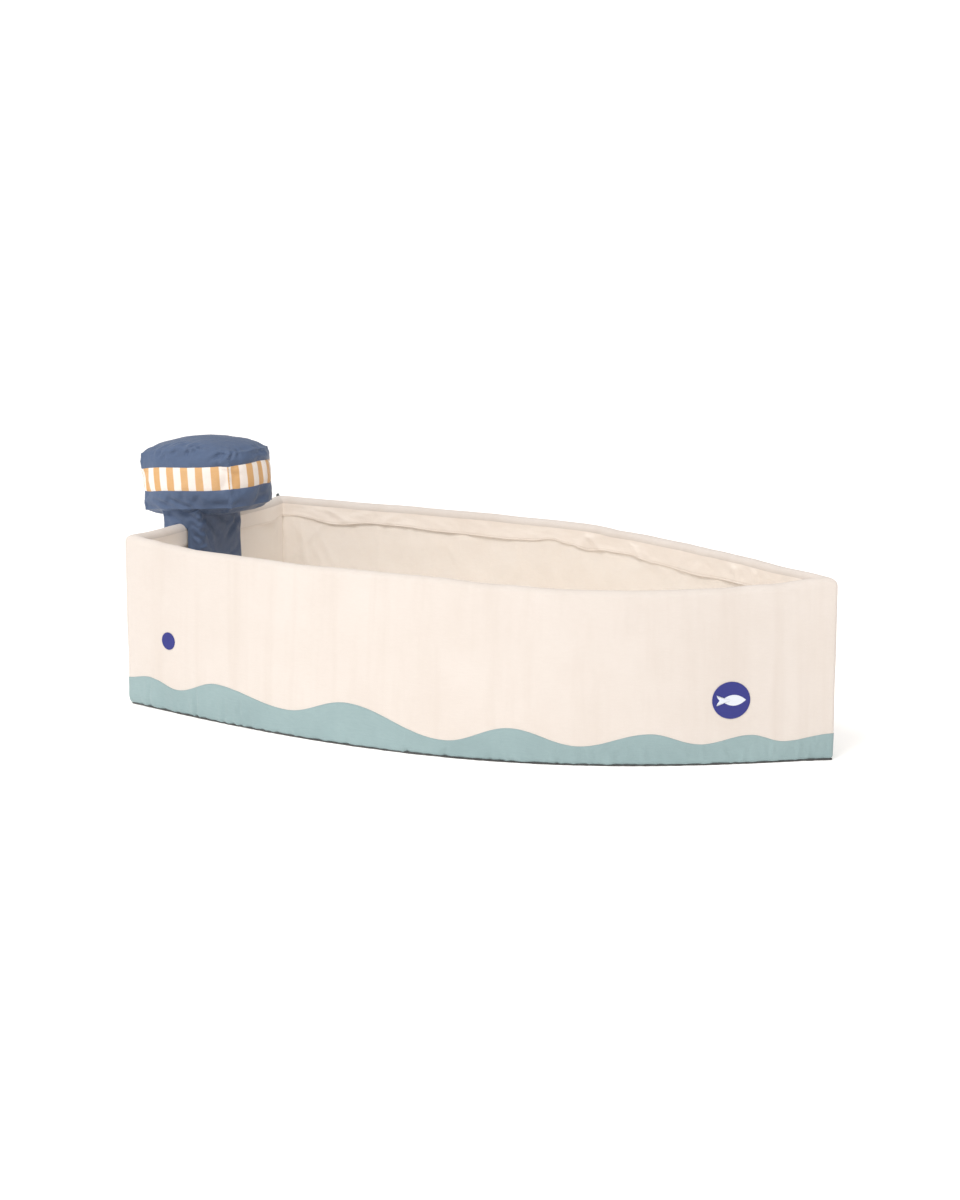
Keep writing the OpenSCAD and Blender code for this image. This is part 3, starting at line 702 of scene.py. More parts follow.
def patch(name, hull_x, z, radius, side, mat, outline=None, proud=0.0011, thick=0.0005):
    """A flat print laid on the curved side. outline gives points (along, up) in metres; a disc by default."""
    pts = cover[WALL_ROWS][:, columns(1 if side > 0 else 2)]
    along = lengths(pts[10])
    along -= np.interp(hull_x, pts[10][:, 0], along) if pts[10][0, 0] < pts[10][-1, 0] else \
        np.interp(-hull_x, -pts[10][:, 0], along)
    if side < 0:
        along = -along

    def place(a, h):
        o = np.argsort(along)
        rows = np.array([np.stack([np.interp(a, along[o], row[o, c]) for c in range(3)], -1) for row in pts])
        return np.array([[np.interp(z + h[q], heights[WALL_ROWS], rows[:, q, c]) for c in range(3)]
                         for q in range(len(a))])

    if outline is None:
        ang = np.linspace(0, 2*np.pi, 72, endpoint=False)
        outline = np.stack([np.cos(ang), np.sin(ang)], -1)*radius
    centre = outline.mean(0)
    rings = [1.0, 1.0, 0.97] + list(np.linspace(0.88, 0.12, 7))
    flat = np.concatenate([centre + (outline - centre)*r for r in rings] + [centre[None]])
    base_pts = place(flat[:, 0], flat[:, 1])
    e = 0.002
    du = place(flat[:, 0] + e, flat[:, 1]) - base_pts
    dv = place(flat[:, 0], flat[:, 1] + e) - base_pts
    n = np.cross(du, dv)
    n /= np.linalg.norm(n, axis=1, keepdims=True)
    if n[0, 1]*side < 0:
        n = -n
    m = len(outline)
    lift = np.full(len(flat), proud)
    lift[:m] = proud - thick - 0.0006
    lift[m:2*m] = proud - 0.0002
    verts = base_pts + n*lift[:, None]
    faces = grid_faces(len(rings), m, True)
    last = (len(rings) - 1)*m
    faces += [(last + k, last + (k + 1) % m, len(flat) - 1) for k in range(m)]
    ob = add_mesh(name, to_row(verts), faces, mat, "hull", flat)
    bm = bmesh.new()
    bm.from_mesh(ob.data)
    bmesh.ops.recalc_face_normals(bm, faces=bm.faces)
    probe = max(bm.faces, key=lambda f: f.calc_area())
    if probe.normal.y*side < 0:
        bmesh.ops.reverse_faces(bm, faces=bm.faces)
    bm.to_mesh(ob.data)
    bm.free()
    return ob


def fish_outline():
    """A plain fish sign, nose towards the bow: (along, up) in metres."""
    nose, half_len, half_high = 0.024, 0.020, 0.009
    s = np.linspace(-0.8, 1, 15)
    back_edge = np.stack([nose - half_len*(1 - s), half_high*(1 - s*s)], -1)
    belly = back_edge[::-1][1:].copy()
    belly[:, 1] *= -1
    tail = np.array([[-0.0205, -0.0065], [-0.024, -0.009], [-0.0225, -0.0045], [-0.019, 0.0],
                     [-0.0225, 0.0045], [-0.024, 0.009], [-0.0205, 0.0065]])
    return np.concatenate([back_edge, belly, tail])


EMBLEM_X, EMBLEM_Z = 1.068, 0.107
patches = {}
for wall, side in (("starboard", -1), ("port", 1)):
    dot = patch(f"{wall}_dot_piece", 0.0912, 0.125, 0.015, side, NAVY)
    emblem = patch(f"{wall}_emblem_piece", EMBLEM_X, EMBLEM_Z, 0.031, side, NAVY)
    fish = patch(f"{wall}_fish_piece", EMBLEM_X, EMBLEM_Z, 0.0, side, PALE, outline=fish_outline(), proud=0.0016)
    patches[wall] = (dot, emblem, fish)

# ribbon tab: one ribbon folded over, its two ends sewn into the corner
tab_lo, tab_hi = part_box("corner_tab")
fold_r, corner_shift = 0.0011, 0.0065
w0, w1 = tab_lo.y + corner_shift, tab_hi.y + corner_shift
cx = (tab_lo.x + tab_hi.x)/2 + 0.0004
top_z = tab_hi.z - fold_r - 0.005
prof = [(cx + fold_r + 0.0003*math.sin(9*k), tab_lo.z + k*(top_z - tab_lo.z)) for k in np.linspace(0, 1, 14)]
prof += [(cx + fold_r*math.cos(a), top_z + fold_r*math.sin(a)) for a in np.linspace(0.3, math.pi - 0.3, 7)]
prof += [(cx - fold_r - 0.0004*math.sin(7*k), top_z + k*(tab_lo.z + 0.002 - top_z)) for k in np.linspace(0, 1, 14)]
tab = np.array([[(x, w0 + (w1 - w0)*v*(1 - 0.45*smooth((z - top_z + 0.012)/0.014)), z)
                 for v in np.linspace(0, 1, 7)] for x, z in prof])
tab_uv = np.stack(np.meshgrid(np.linspace(0, 0.009, 7), np.linspace(0, 0.07, len(prof))), -1)
tab_piece = add_grid("corner_tab_piece", tab, RIBBON, tab_uv)
thick = tab_piece.modifiers.new("thickness", "SOLIDIFY")
thick.thickness = 0.0006
thick.offset = 0

# ---------------------------------------------------------------- motor: stuffed cloth forms
NECK_BACK, NECK_FRONT = -0.0258, 0.0566
HEAD_LEN, HEAD_W, HEAD_TILT = 0.223, 0.160, math.radians(4.5)
HEAD_MID, HEAD_Z = 0.0297, 0.324
BAND_Z, STRIPE_TOP, TOP_SEAM = 0.0315, 0.072, 0.0965
APEX, DOME_R = 0.1205, 0.263
HEAD_FRAME = (Matrix.Translation((HEAD_MID + STERN, MOTOR_SIDE, HEAD_Z)) @ Matrix.Rotation(-HEAD_TILT, 4, "Y"))


def box_skin(nx, ny, nz, filled=lambda i, j, k: True):
    """Boundary quads of a block of cells, with the cell coordinates of each vertex."""
    ids, verts, faces, tags = {}, [], [], []

    def vid(c):
        if c not in ids:
            ids[c] = len(verts)
            verts.append(c)
        return ids[c]

    def solid(i, j, k):
        return 0 <= i < nx and 0 <= j < ny and 0 <= k < nz and filled(i, j, k)

    for i in range(nx):
        for j in range(ny):
            for k in range(nz):
                if not solid(i, j, k):
                    continue
                for axis, step in ((0, -1), (0, 1), (1, -1), (1, 1), (2, -1), (2, 1)):
                    n = [i, j, k]
                    n[axis] += step
                    if solid(*n):
                        continue
                    o = [i, j, k]
                    if step > 0:
                        o[axis] += 1
                    b, c = [(axis + 1) % 3, (axis + 2) % 3]
                    q = []
                    for db, dc in ((0, 0), (1, 0), (1, 1), (0, 1)):
                        v = list(o)
                        v[b] += db
                        v[c] += dc
                        q.append(vid(tuple(v)))
                    faces.append(tuple(q if step > 0 else q[::-1]))
                    tags.append((axis, step, i, j, k))
    return np.array(verts), faces, tags


SIM_FRAMES = 22


def inflate(name, verts, faces, seam_weight, pressure, swell, cap, keep=None, bend=0.35):
    """Cloth simulation of a closed skin: it swells, its seams stay short, and no point moves more than cap."""
    me = bpy.data.meshes.new(name)
    me.from_pydata([tuple(map(float, v)) for v in verts], [], faces)
    ob = bpy.data.objects.new(name, me)
    scene.collection.objects.link(ob)
    group = ob.vertex_groups.new(name="seam")
    for i, w in enumerate(seam_weight):
        if w > 0.01:
            group.add([i], float(w), "REPLACE")
    mod = ob.modifiers.new("cloth", "CLOTH")
    c = mod.settings
    c.quality = 6
    c.mass = 0.15
    c.tension_stiffness = c.compression_stiffness = 18
    c.shear_stiffness = 8
    c.bending_stiffness = bend
    c.air_damping = 2
    c.tension_damping = c.compression_damping = 8
    c.shear_damping = 8
    c.use_pressure = True
    c.uniform_pressure_force = pressure
    c.vertex_group_shrink = "seam"
    c.shrink_min = -swell
    c.shrink_max = 0.0
    c.effector_weights.gravity = 0
    if keep is not None:
        pin = ob.vertex_groups.new(name="pin")
        for i in keep:
            pin.add([int(i)], 1.0, "REPLACE")
        c.vertex_group_mass = "pin"
    mod.collision_settings.use_self_collision = False
    mod.collision_settings.use_collision = False
    for f in range(1, SIM_FRAMES + 1):
        scene.frame_set(f)
    out = read(ob.evaluated_get(bpy.context.evaluated_depsgraph_get()).to_mesh().vertices, "co", 3)
    scene.frame_set(1)
    bpy.data.objects.remove(ob)
    start = np.asarray(verts, float)
    move = out - start
    dist = np.linalg.norm(move, axis=1, keepdims=True)
    limit = cap*np.tanh(dist/cap)
    return start + move/np.maximum(dist, 1e-9)*limit


def refine(verts, faces, data, sharp):
    """One smooth subdivision that carries numbers per point (data) and tells each new face its old one."""
    me = bpy.data.meshes.new("refine")
    me.from_pydata([tuple(map(float, v)) for v in verts], [], [tuple(map(int, f)) for f in faces])
    tag = me.attributes.new("old_face", "INT", "FACE")
    tag.data.foreach_set("value", np.arange(len(faces), dtype=np.int32))
    for key, values in data.items():
        me.attributes.new(key, "FLOAT", "POINT").data.foreach_set("value", np.asarray(values, np.float32))
    ends = read(me.edges, "vertices", 2, np.int32)
    hold = np.minimum(sharp[ends[:, 0]], sharp[ends[:, 1]])
    me.attributes.new("crease_edge", "FLOAT", "EDGE").data.foreach_set("value", hold.astype(np.float32))
    ob = bpy.data.objects.new("refine", me)
    scene.collection.objects.link(ob)
    sub = ob.modifiers.new("sub", "SUBSURF")
    sub.levels = 1
    res = ob.evaluated_get(bpy.context.evaluated_depsgraph_get()).to_mesh()
    out = read(res.vertices, "co", 3)
    quads = read(res.loops, "vertex_index", kind=np.int32).reshape(-1, 4)
    old = read(res.attributes["old_face"].data, "value", kind=np.int32)
    fine = {key: read(res.attributes[key].data, "value", kind=np.float32) for key in data}
    bpy.data.objects.remove(ob)
    return out, [tuple(f) for f in quads.tolist()], old, fine


def normals_of(verts, faces):
    """Unit normals at the vertices of a skin of quads."""
    f = np.array(faces)
    n = np.cross(verts[f[:, 2]] - verts[f[:, 0]], verts[f[:, 3]] - verts[f[:, 1]])
    out = np.zeros_like(verts)
    for k in range(4):
        np.add.at(out, f[:, k], n)
    return out/np.maximum(np.linalg.norm(out, axis=1, keepdims=True), 1e-12)


NX, NY, NZ = 54, 38, 24
# How square the head's plan is: 2 is an ellipse, and higher is squarer
SQUARENESS = 3.05
head_c, head_f, head_t = box_skin(NX, NY, NZ)
X = head_c[:, 0]/NX*2 - 1
Y = head_c[:, 1]/NY*2 - 1
K = head_c[:, 2]
Z = K/NZ*TOP_SEAM


def square_radius(c, s):
    """Radius of the squarish unit outline in the direction (c, s)."""
    return (np.abs(c)**SQUARENESS + np.abs(s)**SQUARENESS)**(-1/SQUARENESS)


def head_shape(X, Y, grow=0.0):
    """A point of the head's plan from block coordinates in -1..1; the block's edge maps to the outline."""
    m = np.maximum(np.maximum(np.abs(X), np.abs(Y)), 1e-6)
    dx, dy = X/m, Y/m
    a, b = HEAD_LEN/2 + grow, HEAD_W/2 + grow
    # even spacing along each side, then out to the outline
    ang = np.arctan2(dy*b*0.80, dx*a*0.80)
    ang = np.arctan2(np.sin(ang)/b, np.cos(ang)/a)
    c, s = np.cos(ang), np.sin(ang)
    r = square_radius(c, s)
    off = np.abs(np.abs(dx) - np.abs(dy))*0.09
    x, y = a*r*c, b*r*s
    # a corner seam: the two panels meet at a slight angle instead of a smooth bend
    k = 1 + (0.0042*np.exp(-off/0.012) - 0.0012*np.exp(-((off - 0.03)/0.02)**2))/np.hypot(x, y)
    return x*k*m, y*k*m, m


hx, hy, hm = head_shape(X, Y, -0.0015)
on_top, on_bottom = K == NZ, K == 0
# the top is a shallow dome, so the top seam arches up along each side
crown = APEX - (hx**2 + hy**2)/(2*DOME_R)
edge_k = np.hypot(hx, hy)/np.maximum(hm, 1e-6)
seam_z = APEX - edge_k**2/(2*DOME_R) - 0.0015
above = np.clip((Z - STRIPE_TOP)/(TOP_SEAM - STRIPE_TOP), 0, 1)
hz = np.where(Z > STRIPE_TOP, STRIPE_TOP + above*(seam_z - STRIPE_TOP), Z)
hz = np.where(on_top, crown - 0.0015 - 0.0045*(1 - hm**2), hz) - np.where(on_bottom, (1 - hm**4)**0.9*0.011, 0)
# the top and bottom edges draw in a little
v = Z/TOP_SEAM
pull = 1 - 0.012*(1 - smooth(v/0.12)) - 0.020*smooth((v - 0.84)/0.16)
hx, hy = hx*pull, hy*pull
# the bands sag a little towards the stern and the port side
hz = hz - 0.0038*smooth((-X - 0.3)/0.7)*(1 - smooth((hz - STRIPE_TOP)/0.03)) - 0.0045*smooth((Y + 0.2)/1.2)
head_v = np.stack([hx, hy, hz], -1)

# seams: top edge, bottom edge, four uprights and both edges of the striped band
band_k = [int(round(BAND_Z/TOP_SEAM*NZ)), int(round(STRIPE_TOP/TOP_SEAM*NZ))]
is_upright = (np.abs(np.abs(X) - 1) < 1e-6) & (np.abs(np.abs(Y) - 1) < 1e-6)
on_wall = ~(on_top | on_bottom)
edge_top = on_top & (hm > 0.999)
edge_bottom = on_bottom & (hm > 0.999)
seam_w = np.where(edge_top | edge_bottom | is_upright, 1.0, 0.0)
on_band = np.isin(K, band_k) & (hm > 0.999)
seam_w = np.maximum(seam_w, np.where(on_band, 0.75, 0))
head_cut = head_v.copy()
head_v = inflate("head_sim", head_v, head_f, seam_w, pressure=2.6, swell=0.045, cap=0.0045)
# the sewn edges stay crisp: points near them go most of the way back to the cut shape
near_low = np.exp(-(Z + (1 - hm)*0.08)/0.005)
near_high = np.exp(-(np.abs(TOP_SEAM - Z) + (1 - hm)*0.08)/0.008)
hold = np.clip(0.9*near_low + 0.85*near_high, 0, 0.9)[:, None]
head_v = head_v*(1 - hold) + head_cut*hold
off_corner = np.abs(1 - np.abs(X))*0.112 + np.abs(1 - np.abs(Y))*0.080
sharp_edges = np.where(edge_top, 0.55, 0) + np.where(edge_bottom, 0.75, 0) + np.where(is_upright & on_wall, 0.8, 0)
head_v, head_f, old_quad, head_fine = refine(
    head_v, head_f, {"X": X, "Y": Y, "K": K, "hm": hm, "off": off_corner, "low": edge_bottom, "high": edge_top,
                     "upright": is_upright & on_wall, "band": on_band}, np.clip(sharp_edges, 0, 0.85))
head_t = [head_t[q] for q in old_quad]
X, Y, K, hm = head_fine["X"], head_fine["Y"], head_fine["K"], head_fine["hm"]
head_n = normals_of(head_v, head_f)


def crease_at(points, start, end, width, depth):
    """Depth of a soft crease that runs from start to end (local head coordinates)."""
    a, b = np.array(start, float), np.array(end, float)
    t = np.clip(((points - a) @ (b - a))/np.dot(b - a, b - a), 0, 1)
    d = np.linalg.norm(points - (a + t[:, None]*(b - a)), axis=1)
    fade = np.sin(np.pi*np.clip(t*0.86 + 0.07, 0, 1))
    return -depth*fade*np.exp(-(d/width)**2) + 0.38*depth*fade*np.exp(-((d - 2.1*width)/(1.2*width))**2)


def crease_all(points, creases):
    """Depth of all the creases of a table."""
    return sum(crease_at(points, *crease) for crease in creases)


rng = np.random.default_rng(7)
shift = np.zeros(len(head_v))
# shallow gathers across the top seam, all the way round
for _ in range(16):
    ang = rng.uniform(0, 2*np.pi)
    c, s = math.cos(ang), math.sin(ang)
    r = square_radius(c, s)
    x, y = HEAD_LEN/2*r*c*0.97, HEAD_W/2*r*s*0.97
    lean = rng.uniform(-0.9, 0.9)
    tx, ty = -s*lean, c*lean
    inner = (x*(0.80 + 0.1*rng.random()) + tx*0.03, y*(0.74 + 0.12*rng.random()) + ty*0.03, TOP_SEAM + 0.011)
    outer = (x*1.02 - tx*0.012, y*1.02 - ty*0.012, TOP_SEAM - 0.012 - 0.008*rng.random())
    shift += crease_at(head_v, outer, inner, 0.0030 + 0.002*rng.random(), 0.0006 + 0.0009*rng.random())
# The head's deeper creases, most of them on the starboard side: start, end, width and depth
HEAD_CREASES = (
    ((-0.048, -0.079, 0.092), (-0.028, -0.064, 0.110), 0.0034, 0.0046),
    ((-0.036, -0.080, 0.088), (0.000, -0.058, 0.113), 0.0036, 0.0062),
    ((-0.020, -0.080, 0.094), (0.008, -0.064, 0.111), 0.0030, 0.0042),
    ((0.010, -0.080, 0.093), (0.030, -0.062, 0.112), 0.0034, 0.0054),
    ((0.026, -0.079, 0.098), (0.042, -0.066, 0.108), 0.0028, 0.0036),
    ((0.060, -0.076, 0.086), (0.088, -0.060, 0.098), 0.0032, 0.0046),
    ((0.074, -0.074, 0.084), (0.093, -0.060, 0.099), 0.0028, 0.0040),
    ((0.092, -0.064, 0.084), (0.096, -0.048, 0.102), 0.0030, 0.0026),
    ((0.100, -0.048, 0.088), (0.092, -0.034, 0.104), 0.0030, 0.0020),
    ((0.108, 0.010, 0.090), (0.090, 0.016, 0.106), 0.0034, 0.0016),
    ((-0.085, -0.062, 0.084), (-0.070, -0.052, 0.102), 0.0040, 0.0020),
    ((-0.062, -0.076, 0.014), (-0.006, -0.080, 0.000), 0.0042, 0.0036),
    ((-0.030, -0.079, 0.017), (0.012, -0.080, 0.003), 0.0040, 0.0048),
    ((-0.046, -0.078, 0.004), (-0.024, -0.077, -0.001), 0.0036, 0.0030),
    ((-0.014, -0.079, 0.009), (0.022, -0.080, -0.001), 0.0036, 0.0040),
    ((0.050, -0.078, 0.010), (0.085, -0.068, 0.004), 0.0050, 0.0016),
    ((0.104, -0.020, 0.006), (0.108, 0.030, 0.014), 0.0050, 0.0018))
shift += crease_all(head_v, HEAD_CREASES)
seam_groove = np.zeros(len(head_v))
for key, depth in (("high", 0.0009), ("low", 0.0005), ("upright", 0.0012), ("band", 0.0007)):
    seam_groove = np.maximum(seam_groove, depth*head_fine[key]**2)
shift += 0.0022*np.exp(-head_fine["off"]/0.007)*(hm > 0.99)
wob = fbm(head_v, (0.035, 0.035, 0.03), 21, 3)*0.0011
head_v = head_v + head_n*(shift + wob - seam_groove)[:, None]


def transform(matrix, pts):
    """Points (n, 3) moved by a 4 x 4 matrix."""
    m = np.array(matrix)
    return pts @ m[:3, :3].T + m[:3, 3]


def add_motor(name, verts, faces, uv, mat=BLUE):
    """A sewn piece of the motor, smoothed once more."""
    ob = motor[name] = add_mesh(name + "_piece", verts, faces, mat, "motor", uv)
    fine = ob.modifiers.new("fine", "SUBSURF")
    fine.levels = fine.render_levels = 1
    fine.boundary_smooth = "PRESERVE_CORNERS"


def cut_out(faces, keep):
    """The vertices that the kept faces use, and those faces renumbered to match."""
    used = sorted({i for q in keep for i in faces[q]})
    ids = {old: new for new, old in enumerate(used)}
    return used, [tuple(ids[i] for i in faces[q]) for q in keep]


# UVs in metres: along each side of the head from its own upright, and up
ARC_LEN, ARC_W = 0.2065, 0.1420
uv_side = np.stack([np.where(np.abs(Y) >= np.abs(X), (X + 1)/2*ARC_LEN, (Y + 1)/2*ARC_W), head_v[:, 2]], -1)
regions = {"motor_top": [], "motor_upper_band": [], "motor_stripe_band": [], "motor_lower_band": [],
           "motor_underside": []}
for q, (axis, step, i, j, k) in enumerate(head_t):
    if axis == 2:
        regions["motor_top" if step > 0 else "motor_underside"].append(q)
    elif k >= band_k[1]:
        regions["motor_upper_band"].append(q)
    elif k >= band_k[0]:
        regions["motor_stripe_band"].append(q)
    else:
        regions["motor_lower_band"].append(q)
motor = {}
for name, quads in regions.items():
    if name == "motor_stripe_band":
        continue
    uv = head_v[:, :2] if name in ("motor_top", "motor_underside") else uv_side
    used, faces = cut_out(head_f, quads)
    add_motor(name, transform(HEAD_FRAME, head_v[used]), faces, uv[used])

# the striped band, cut at its uprights so that each side's stripes start at its own corner
STRIPE_PITCH = 0.0300
sv, sf, suv = [], [], []
for axis, step, start in ((1, -1, 0.0173), (0, 1, 0.0042), (1, 1, 0.010), (0, -1, 0.010)):
    side = [q for q in regions["motor_stripe_band"] if head_t[q][:2] == (axis, step)]
    used, faces = cut_out(head_f, side)
    pts = head_v[used]
    sign = 1 if (axis == 1) == (step < 0) else -1
    # arc length along the band's middle row
    row = [n for n in range(len(used)) if abs(K[used[n]] - band_k[0] - 3) < 0.01]
    row.sort(key=lambda n: sign*pts[n, 1 - axis])
    arc = lengths(pts[row][:, :2])
    grid_key = sign*(X if axis == 1 else Y)[used]
    u = np.interp(grid_key, grid_key[row], arc)
    if (axis, step) == (1, -1):
        u = arc[-1] - u
    sf += [tuple(len(sv) + i for i in face) for face in faces]
    sv += list(pts)
    suv += list(np.stack([u - start + 8*STRIPE_PITCH, pts[:, 2]], -1))
add_motor("motor_stripe_band", transform(HEAD_FRAME, np.array(sv)), sf, np.array(suv), STRIPED)

# ---------------------------------------------------------------- neck and legs
DX = [-0.0258, -0.0195, -0.0132, -0.0070, -0.0008, 0.0050, 0.0109, 0.0168, 0.0226, 0.0280,
      0.0338, 0.0395, 0.0452, 0.0509, 0.0566]
CELL_Z = [0.110, 0.1167, 0.1233, 0.130, 0.1367, 0.1433, 0.150] + \
    [0.150 + 0.14042*k/22 for k in range(1, 23)] + [0.2968, 0.3032, 0.3096, 0.3160, 0.3215]
NYN, NECK_HALF_W = 22, 0.0675
# Cells: the outer leg is the first 4 along x and the inner leg starts at the 9th. The inner leg starts at the 6th
# up, and the bridge at the 28th.
OUTER_END, INNER_START, INNER_FOOT, BRIDGE = 4, 9, 6, 28


def neck_filled(i, j, k):
    return k >= BRIDGE or i < OUTER_END or (i >= INNER_START and k >= INNER_FOOT)


neck_c, neck_f, neck_t = box_skin(len(DX) - 1, NYN, len(CELL_Z) - 1, neck_filled)
nx = np.array(DX)[neck_c[:, 0]]
ny = neck_c[:, 1]/NYN*2 - 1
nz = np.array(CELL_Z)[neck_c[:, 2]]
neck_v = np.stack([nx, ny*(NECK_HALF_W - 0.0012), nz], -1)
in_bridge = neck_c[:, 2] > BRIDGE
saddle_wall = (neck_c[:, 0] >= OUTER_END) & (neck_c[:, 0] <= INNER_START) & (neck_c[:, 2] <= BRIDGE)
cx_leg = np.where(in_bridge, (NECK_BACK + NECK_FRONT)/2, np.where(nx < 0.015, -0.0133, 0.0423))
half_t = np.where(in_bridge, 0.0412, np.where(nx < 0.015, 0.0125, 0.0143))
neck_v[:, 0] = cx_leg + (nx - cx_leg)*(1 - np.where(saddle_wall, 0, 0.0016)/half_t)
neck_v[:, 2] = np.where(nz < 0.16, nz + 0.002*(0.16 - nz)/0.05, nz)
# corner seams run down the four outer uprights and round the ends of the legs
on_end = np.abs(np.abs(ny) - 1) < 1e-6
outer_x = (neck_c[:, 0] == 0) | (neck_c[:, 0] == len(DX) - 1)
saddle_x = ((neck_c[:, 0] == OUTER_END) | (neck_c[:, 0] == INNER_START)) & (neck_c[:, 2] <= BRIDGE)
foot = (neck_c[:, 2] == 0) | ((neck_c[:, 2] == INNER_FOOT) & (neck_c[:, 0] >= INNER_START))
nseam = np.where(on_end & (outer_x | saddle_x | foot), 1.0, 0.0)
neck_v = inflate("neck_sim", neck_v, neck_f, nseam, pressure=2.2, swell=0.05, cap=0.0035,
                 keep=np.where(saddle_wall)[0], bend=0.15)
neck_sharp = np.where(nseam > 0.5, 0.6, 0) + np.where(saddle_wall, 0.3, 0)
neck_v, neck_f, old_quad, fine_n = refine(
    neck_v, neck_f, {"i": neck_c[:, 0], "j": neck_c[:, 1], "k": neck_c[:, 2], "x": nx, "y": ny, "seam": nseam,
                     "saddle": saddle_wall}, neck_sharp)
neck_t = [neck_t[q] for q in old_quad]
neck_c = np.stack([fine_n["i"], fine_n["j"], fine_n["k"]], -1)
nx, ny, nseam, saddle_wall = fine_n["x"], fine_n["y"], fine_n["seam"], fine_n["saddle"]
neck_n = normals_of(neck_v, neck_f)
# tucks along the front starboard seam, and slack folds on the face towards the bow
tucks = np.zeros(len(neck_v))
for z in np.cumsum(rng.uniform(0.007, 0.018, 14)) + 0.150:
    a = (NECK_FRONT, -NECK_HALF_W, z)
    b = (NECK_FRONT - rng.uniform(0.008, 0.024), -NECK_HALF_W, z + rng.uniform(-0.004, 0.012))
    c = (NECK_FRONT, -NECK_HALF_W + rng.uniform(0.008, 0.024), z + rng.uniform(-0.010, 0.006))
    deep = rng.uniform(0.9, 1.9)
    tucks += crease_at(neck_v, a, b, 0.0028, 0.0032*deep) + crease_at(neck_v, a, c, 0.0028, 0.0026*deep)
# start, end, width and depth
NECK_CREASES = (
    ((0.0566, -0.062, 0.318), (0.0566, -0.010, 0.268), 0.0055, 0.0034),
    ((0.0566, -0.030, 0.318), (0.0566, 0.030, 0.285), 0.0050, 0.0026),
    ((0.0566, 0.060, 0.300), (0.0566, 0.010, 0.262), 0.0050, 0.0026),
    ((0.0566, -0.060, 0.250), (0.0566, -0.020, 0.225), 0.0050, 0.0022),
    ((0.0566, 0.050, 0.240), (0.0566, 0.000, 0.222), 0.0050, 0.0022),
    ((-0.020, -0.0675, 0.316), (0.014, -0.0675, 0.300), 0.0045, 0.0030),
    ((0.0, -0.0675, 0.320), (0.040, -0.0675, 0.308), 0.0045, 0.0034),
    ((-0.022, -0.0675, 0.306), (0.004, -0.0675, 0.320), 0.0036, 0.0030),
    ((0.012, -0.0675, 0.312), (0.050, -0.0675, 0.322), 0.0040, 0.0034),
    ((0.030, -0.0675, 0.290), (0.0566, -0.0675, 0.300), 0.0034, 0.0026),
    ((0.0566, -0.055, 0.290), (0.0566, -0.030, 0.240), 0.0050, 0.0030),
    ((0.0566, 0.020, 0.320), (0.0566, 0.060, 0.270), 0.0050, 0.0028))
tucks += crease_all(neck_v, NECK_CREASES)
wob = fbm(neck_v, (0.03, 0.03, 0.03), 23, 3)*0.0012
groove = 0.0010*nseam**2
neck_v = neck_v + neck_n*((tucks + wob - groove)*(1 - 0.9*saddle_wall))[:, None]
# the two faces against the stern stay off its cloth, and the neck stops at the underside of the head
leg_zone = neck_v[:, 2] < WALL_H + 0.001
leg_zone &= neck_c[:, 2] < BRIDGE + 1
neck_v[:, 0] = np.where((nx > 0.015) & leg_zone, np.maximum(neck_v[:, 0], 0.0270), neck_v[:, 0])
neck_v[:, 0] = np.where((nx < 0.015) & leg_zone, np.minimum(neck_v[:, 0], -0.0012), neck_v[:, 0])
arch = (np.abs(neck_c[:, 2] - BRIDGE) < 0.6) & (neck_c[:, 0] > OUTER_END - 0.1) & (neck_c[:, 0] < INNER_START + 0.1)
over = 0.2845 + 0.0114*np.sqrt(np.clip(1 - ((neck_v[:, 0] - RIM_D)/0.0150)**2, 0, 1))
neck_v[:, 2] = np.where(arch, over, neck_v[:, 2])
neck_v[:, 0] += STERN
neck_v[:, 1] += MOTOR_SIDE
# the top ring meets the tilted head and tucks into its underside
local_x = neck_v[:, 0] - STERN - HEAD_MID
under_z = HEAD_Z + local_x*math.sin(HEAD_TILT) - 0.0005
k = smooth((neck_c[:, 2] - BRIDGE)/(len(CELL_Z) - 1 - BRIDGE))
neck_v[:, 2] += (under_z - CELL_Z[-1])*k
neck_parts = {"bridge_cover": [], "bridge_lining": [], "inner_leg_cover": [], "outer_leg_cover": []}
for q, (axis, step, i, j, k) in enumerate(neck_t):
    if k < BRIDGE:
        neck_parts["outer_leg_cover" if i < OUTER_END else "inner_leg_cover"].append(q)
    elif axis < 2:
        neck_parts["bridge_cover"].append(q)
    elif step < 0:
        neck_parts["bridge_lining"].append(q)
neck_uv = np.stack([neck_v[:, 0] + neck_v[:, 1], neck_v[:, 2]], -1)
for name, quads in neck_parts.items():
    used, faces = cut_out(neck_f, quads)
    add_motor(name, neck_v[used], faces, neck_uv[used])

# stitches beside the head's uprights
corner_rows = {}
for n in np.where((head_fine["upright"] > 0.99) & (np.abs(K - np.round(K)) < 0.01))[0]:
    corner_rows.setdefault((X[n] > 0, Y[n] > 0), []).append(n)
for (px, py), ids in corner_rows.items():
    ids = sorted(ids, key=lambda n: K[n])
    line = transform(HEAD_FRAME, head_v[ids] + head_n[ids]*0.0004)
    stitches(f"head_corner_stitches_{int(px)}{int(py)}", line, head_n[ids], THREAD_BLUE, "motor",
             length=0.0022, gap=0.0030, width=0.0004, proud=0.0002)

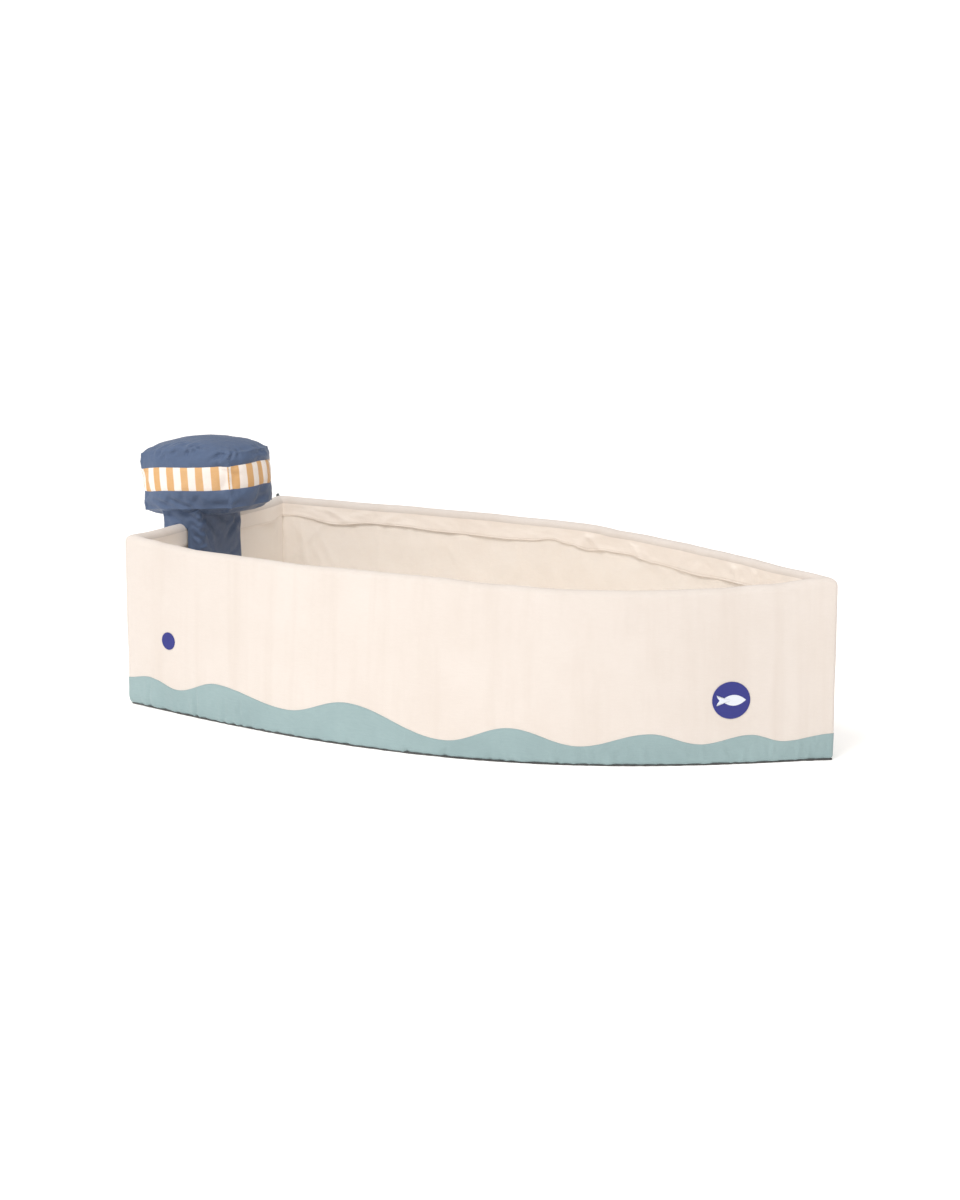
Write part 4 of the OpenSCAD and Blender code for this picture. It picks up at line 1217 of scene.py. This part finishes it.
# ---------------------------------------------------------------- what stands for what
for wall in ("port", "starboard"):
    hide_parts(f"{wall}_cover", f"{wall}_foam_aft", f"{wall}_foam_fore")
    dot, emblem, fish = patches[wall]
    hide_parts(f"{wall}_dot")
    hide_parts(f"{wall}_emblem")
    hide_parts(f"{wall}_fish")
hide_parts("transom_cover", "transom_foam")
for wall, part in WALLS:
    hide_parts(f"{wall}_wave")
    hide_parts(f"{wall}_lining")
    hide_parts(f"{wall}_facing")
    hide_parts(f"{wall}_tape")
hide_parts("floor_pad")
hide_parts("base_cloth")
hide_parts("corner_tab")
fills = {"motor_underside": ["motor_filling"], "bridge_cover": ["bridge_filling"],
         "inner_leg_cover": ["inner_leg_filling"], "outer_leg_cover": ["outer_leg_filling"]}
for name, ob in motor.items():
    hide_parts(name, *fills.get(name, []))

# ---------------------------------------------------------------- floor, backdrop and light
floor_mat = Nodes("pale_floor")
speck = floor_mat.noise(3.0, 3.0)
pale = floor_mat.mix(speck, (0.95, 0.93, 0.91, 1), (0.96, 0.945, 0.93, 1))
floor_mat.link(pale, floor_mat.shader.inputs["Base Color"])
floor_mat.shader.inputs["Roughness"].default_value = 0.9
floor_mat.shader.inputs["Specular IOR Level"].default_value = 0.1
floor_mat.shader.inputs["Emission Color"].default_value = (1, 0.995, 0.985, 1)
floor_mat.shader.inputs["Emission Strength"].default_value = 0.36
me = bpy.data.meshes.new("floor")
FLOOR_R, FLOOR_SIDES = 500, 96
angles = [2*math.pi*i/FLOOR_SIDES for i in range(FLOOR_SIDES)]
me.from_pydata([(FLOOR_R*math.cos(a), FLOOR_R*math.sin(a), 0) for a in angles], [], [tuple(range(FLOOR_SIDES))])
floor = bpy.data.objects.new("floor", me)
scene.collection.objects.link(floor)
me.materials.append(floor_mat.mat)

KEY_PLACE, KEY_AIM = (0.3, -2.4, 3.9), (0.05, 0.0, 0.15)
world = bpy.data.worlds.new("studio")
scene.world = world
world.use_nodes = True
bg = world.node_tree.nodes["Background"]
bg.inputs[0].default_value = (1.0, 0.99, 0.975, 1)
# brighter from the stern and the starboard side, darker from beyond the bow
way = world.node_tree.nodes.new("ShaderNodeTexCoord")
dot = world.node_tree.nodes.new("ShaderNodeVectorMath")
dot.operation = "DOT_PRODUCT"
dot.inputs[1].default_value = Vector((-0.42, -0.66, 0.62)).normalized()
level = world.node_tree.nodes.new("ShaderNodeMapRange")
for key, value in (("From Min", -1), ("From Max", 1), ("To Min", 0.04), ("To Max", 1.09)):
    level.inputs[key].default_value = value
world.node_tree.links.new(way.outputs["Generated"], dot.inputs[0])
world.node_tree.links.new(dot.outputs["Value"], level.inputs["Value"])
world.node_tree.links.new(level.outputs[0], bg.inputs[1])

key = bpy.data.lights.new("key", "AREA")
key.shape = "RECTANGLE"
key.size, key.size_y = 1.4, 1.2
key.energy = 82
key.color = (1, 0.98, 0.955)
key_light = bpy.data.objects.new("key", key)
scene.collection.objects.link(key_light)
key_light.location = KEY_PLACE
key_light.rotation_euler = (Vector(KEY_PLACE) - Vector(KEY_AIM)).to_track_quat("Z", "Y").to_euler()
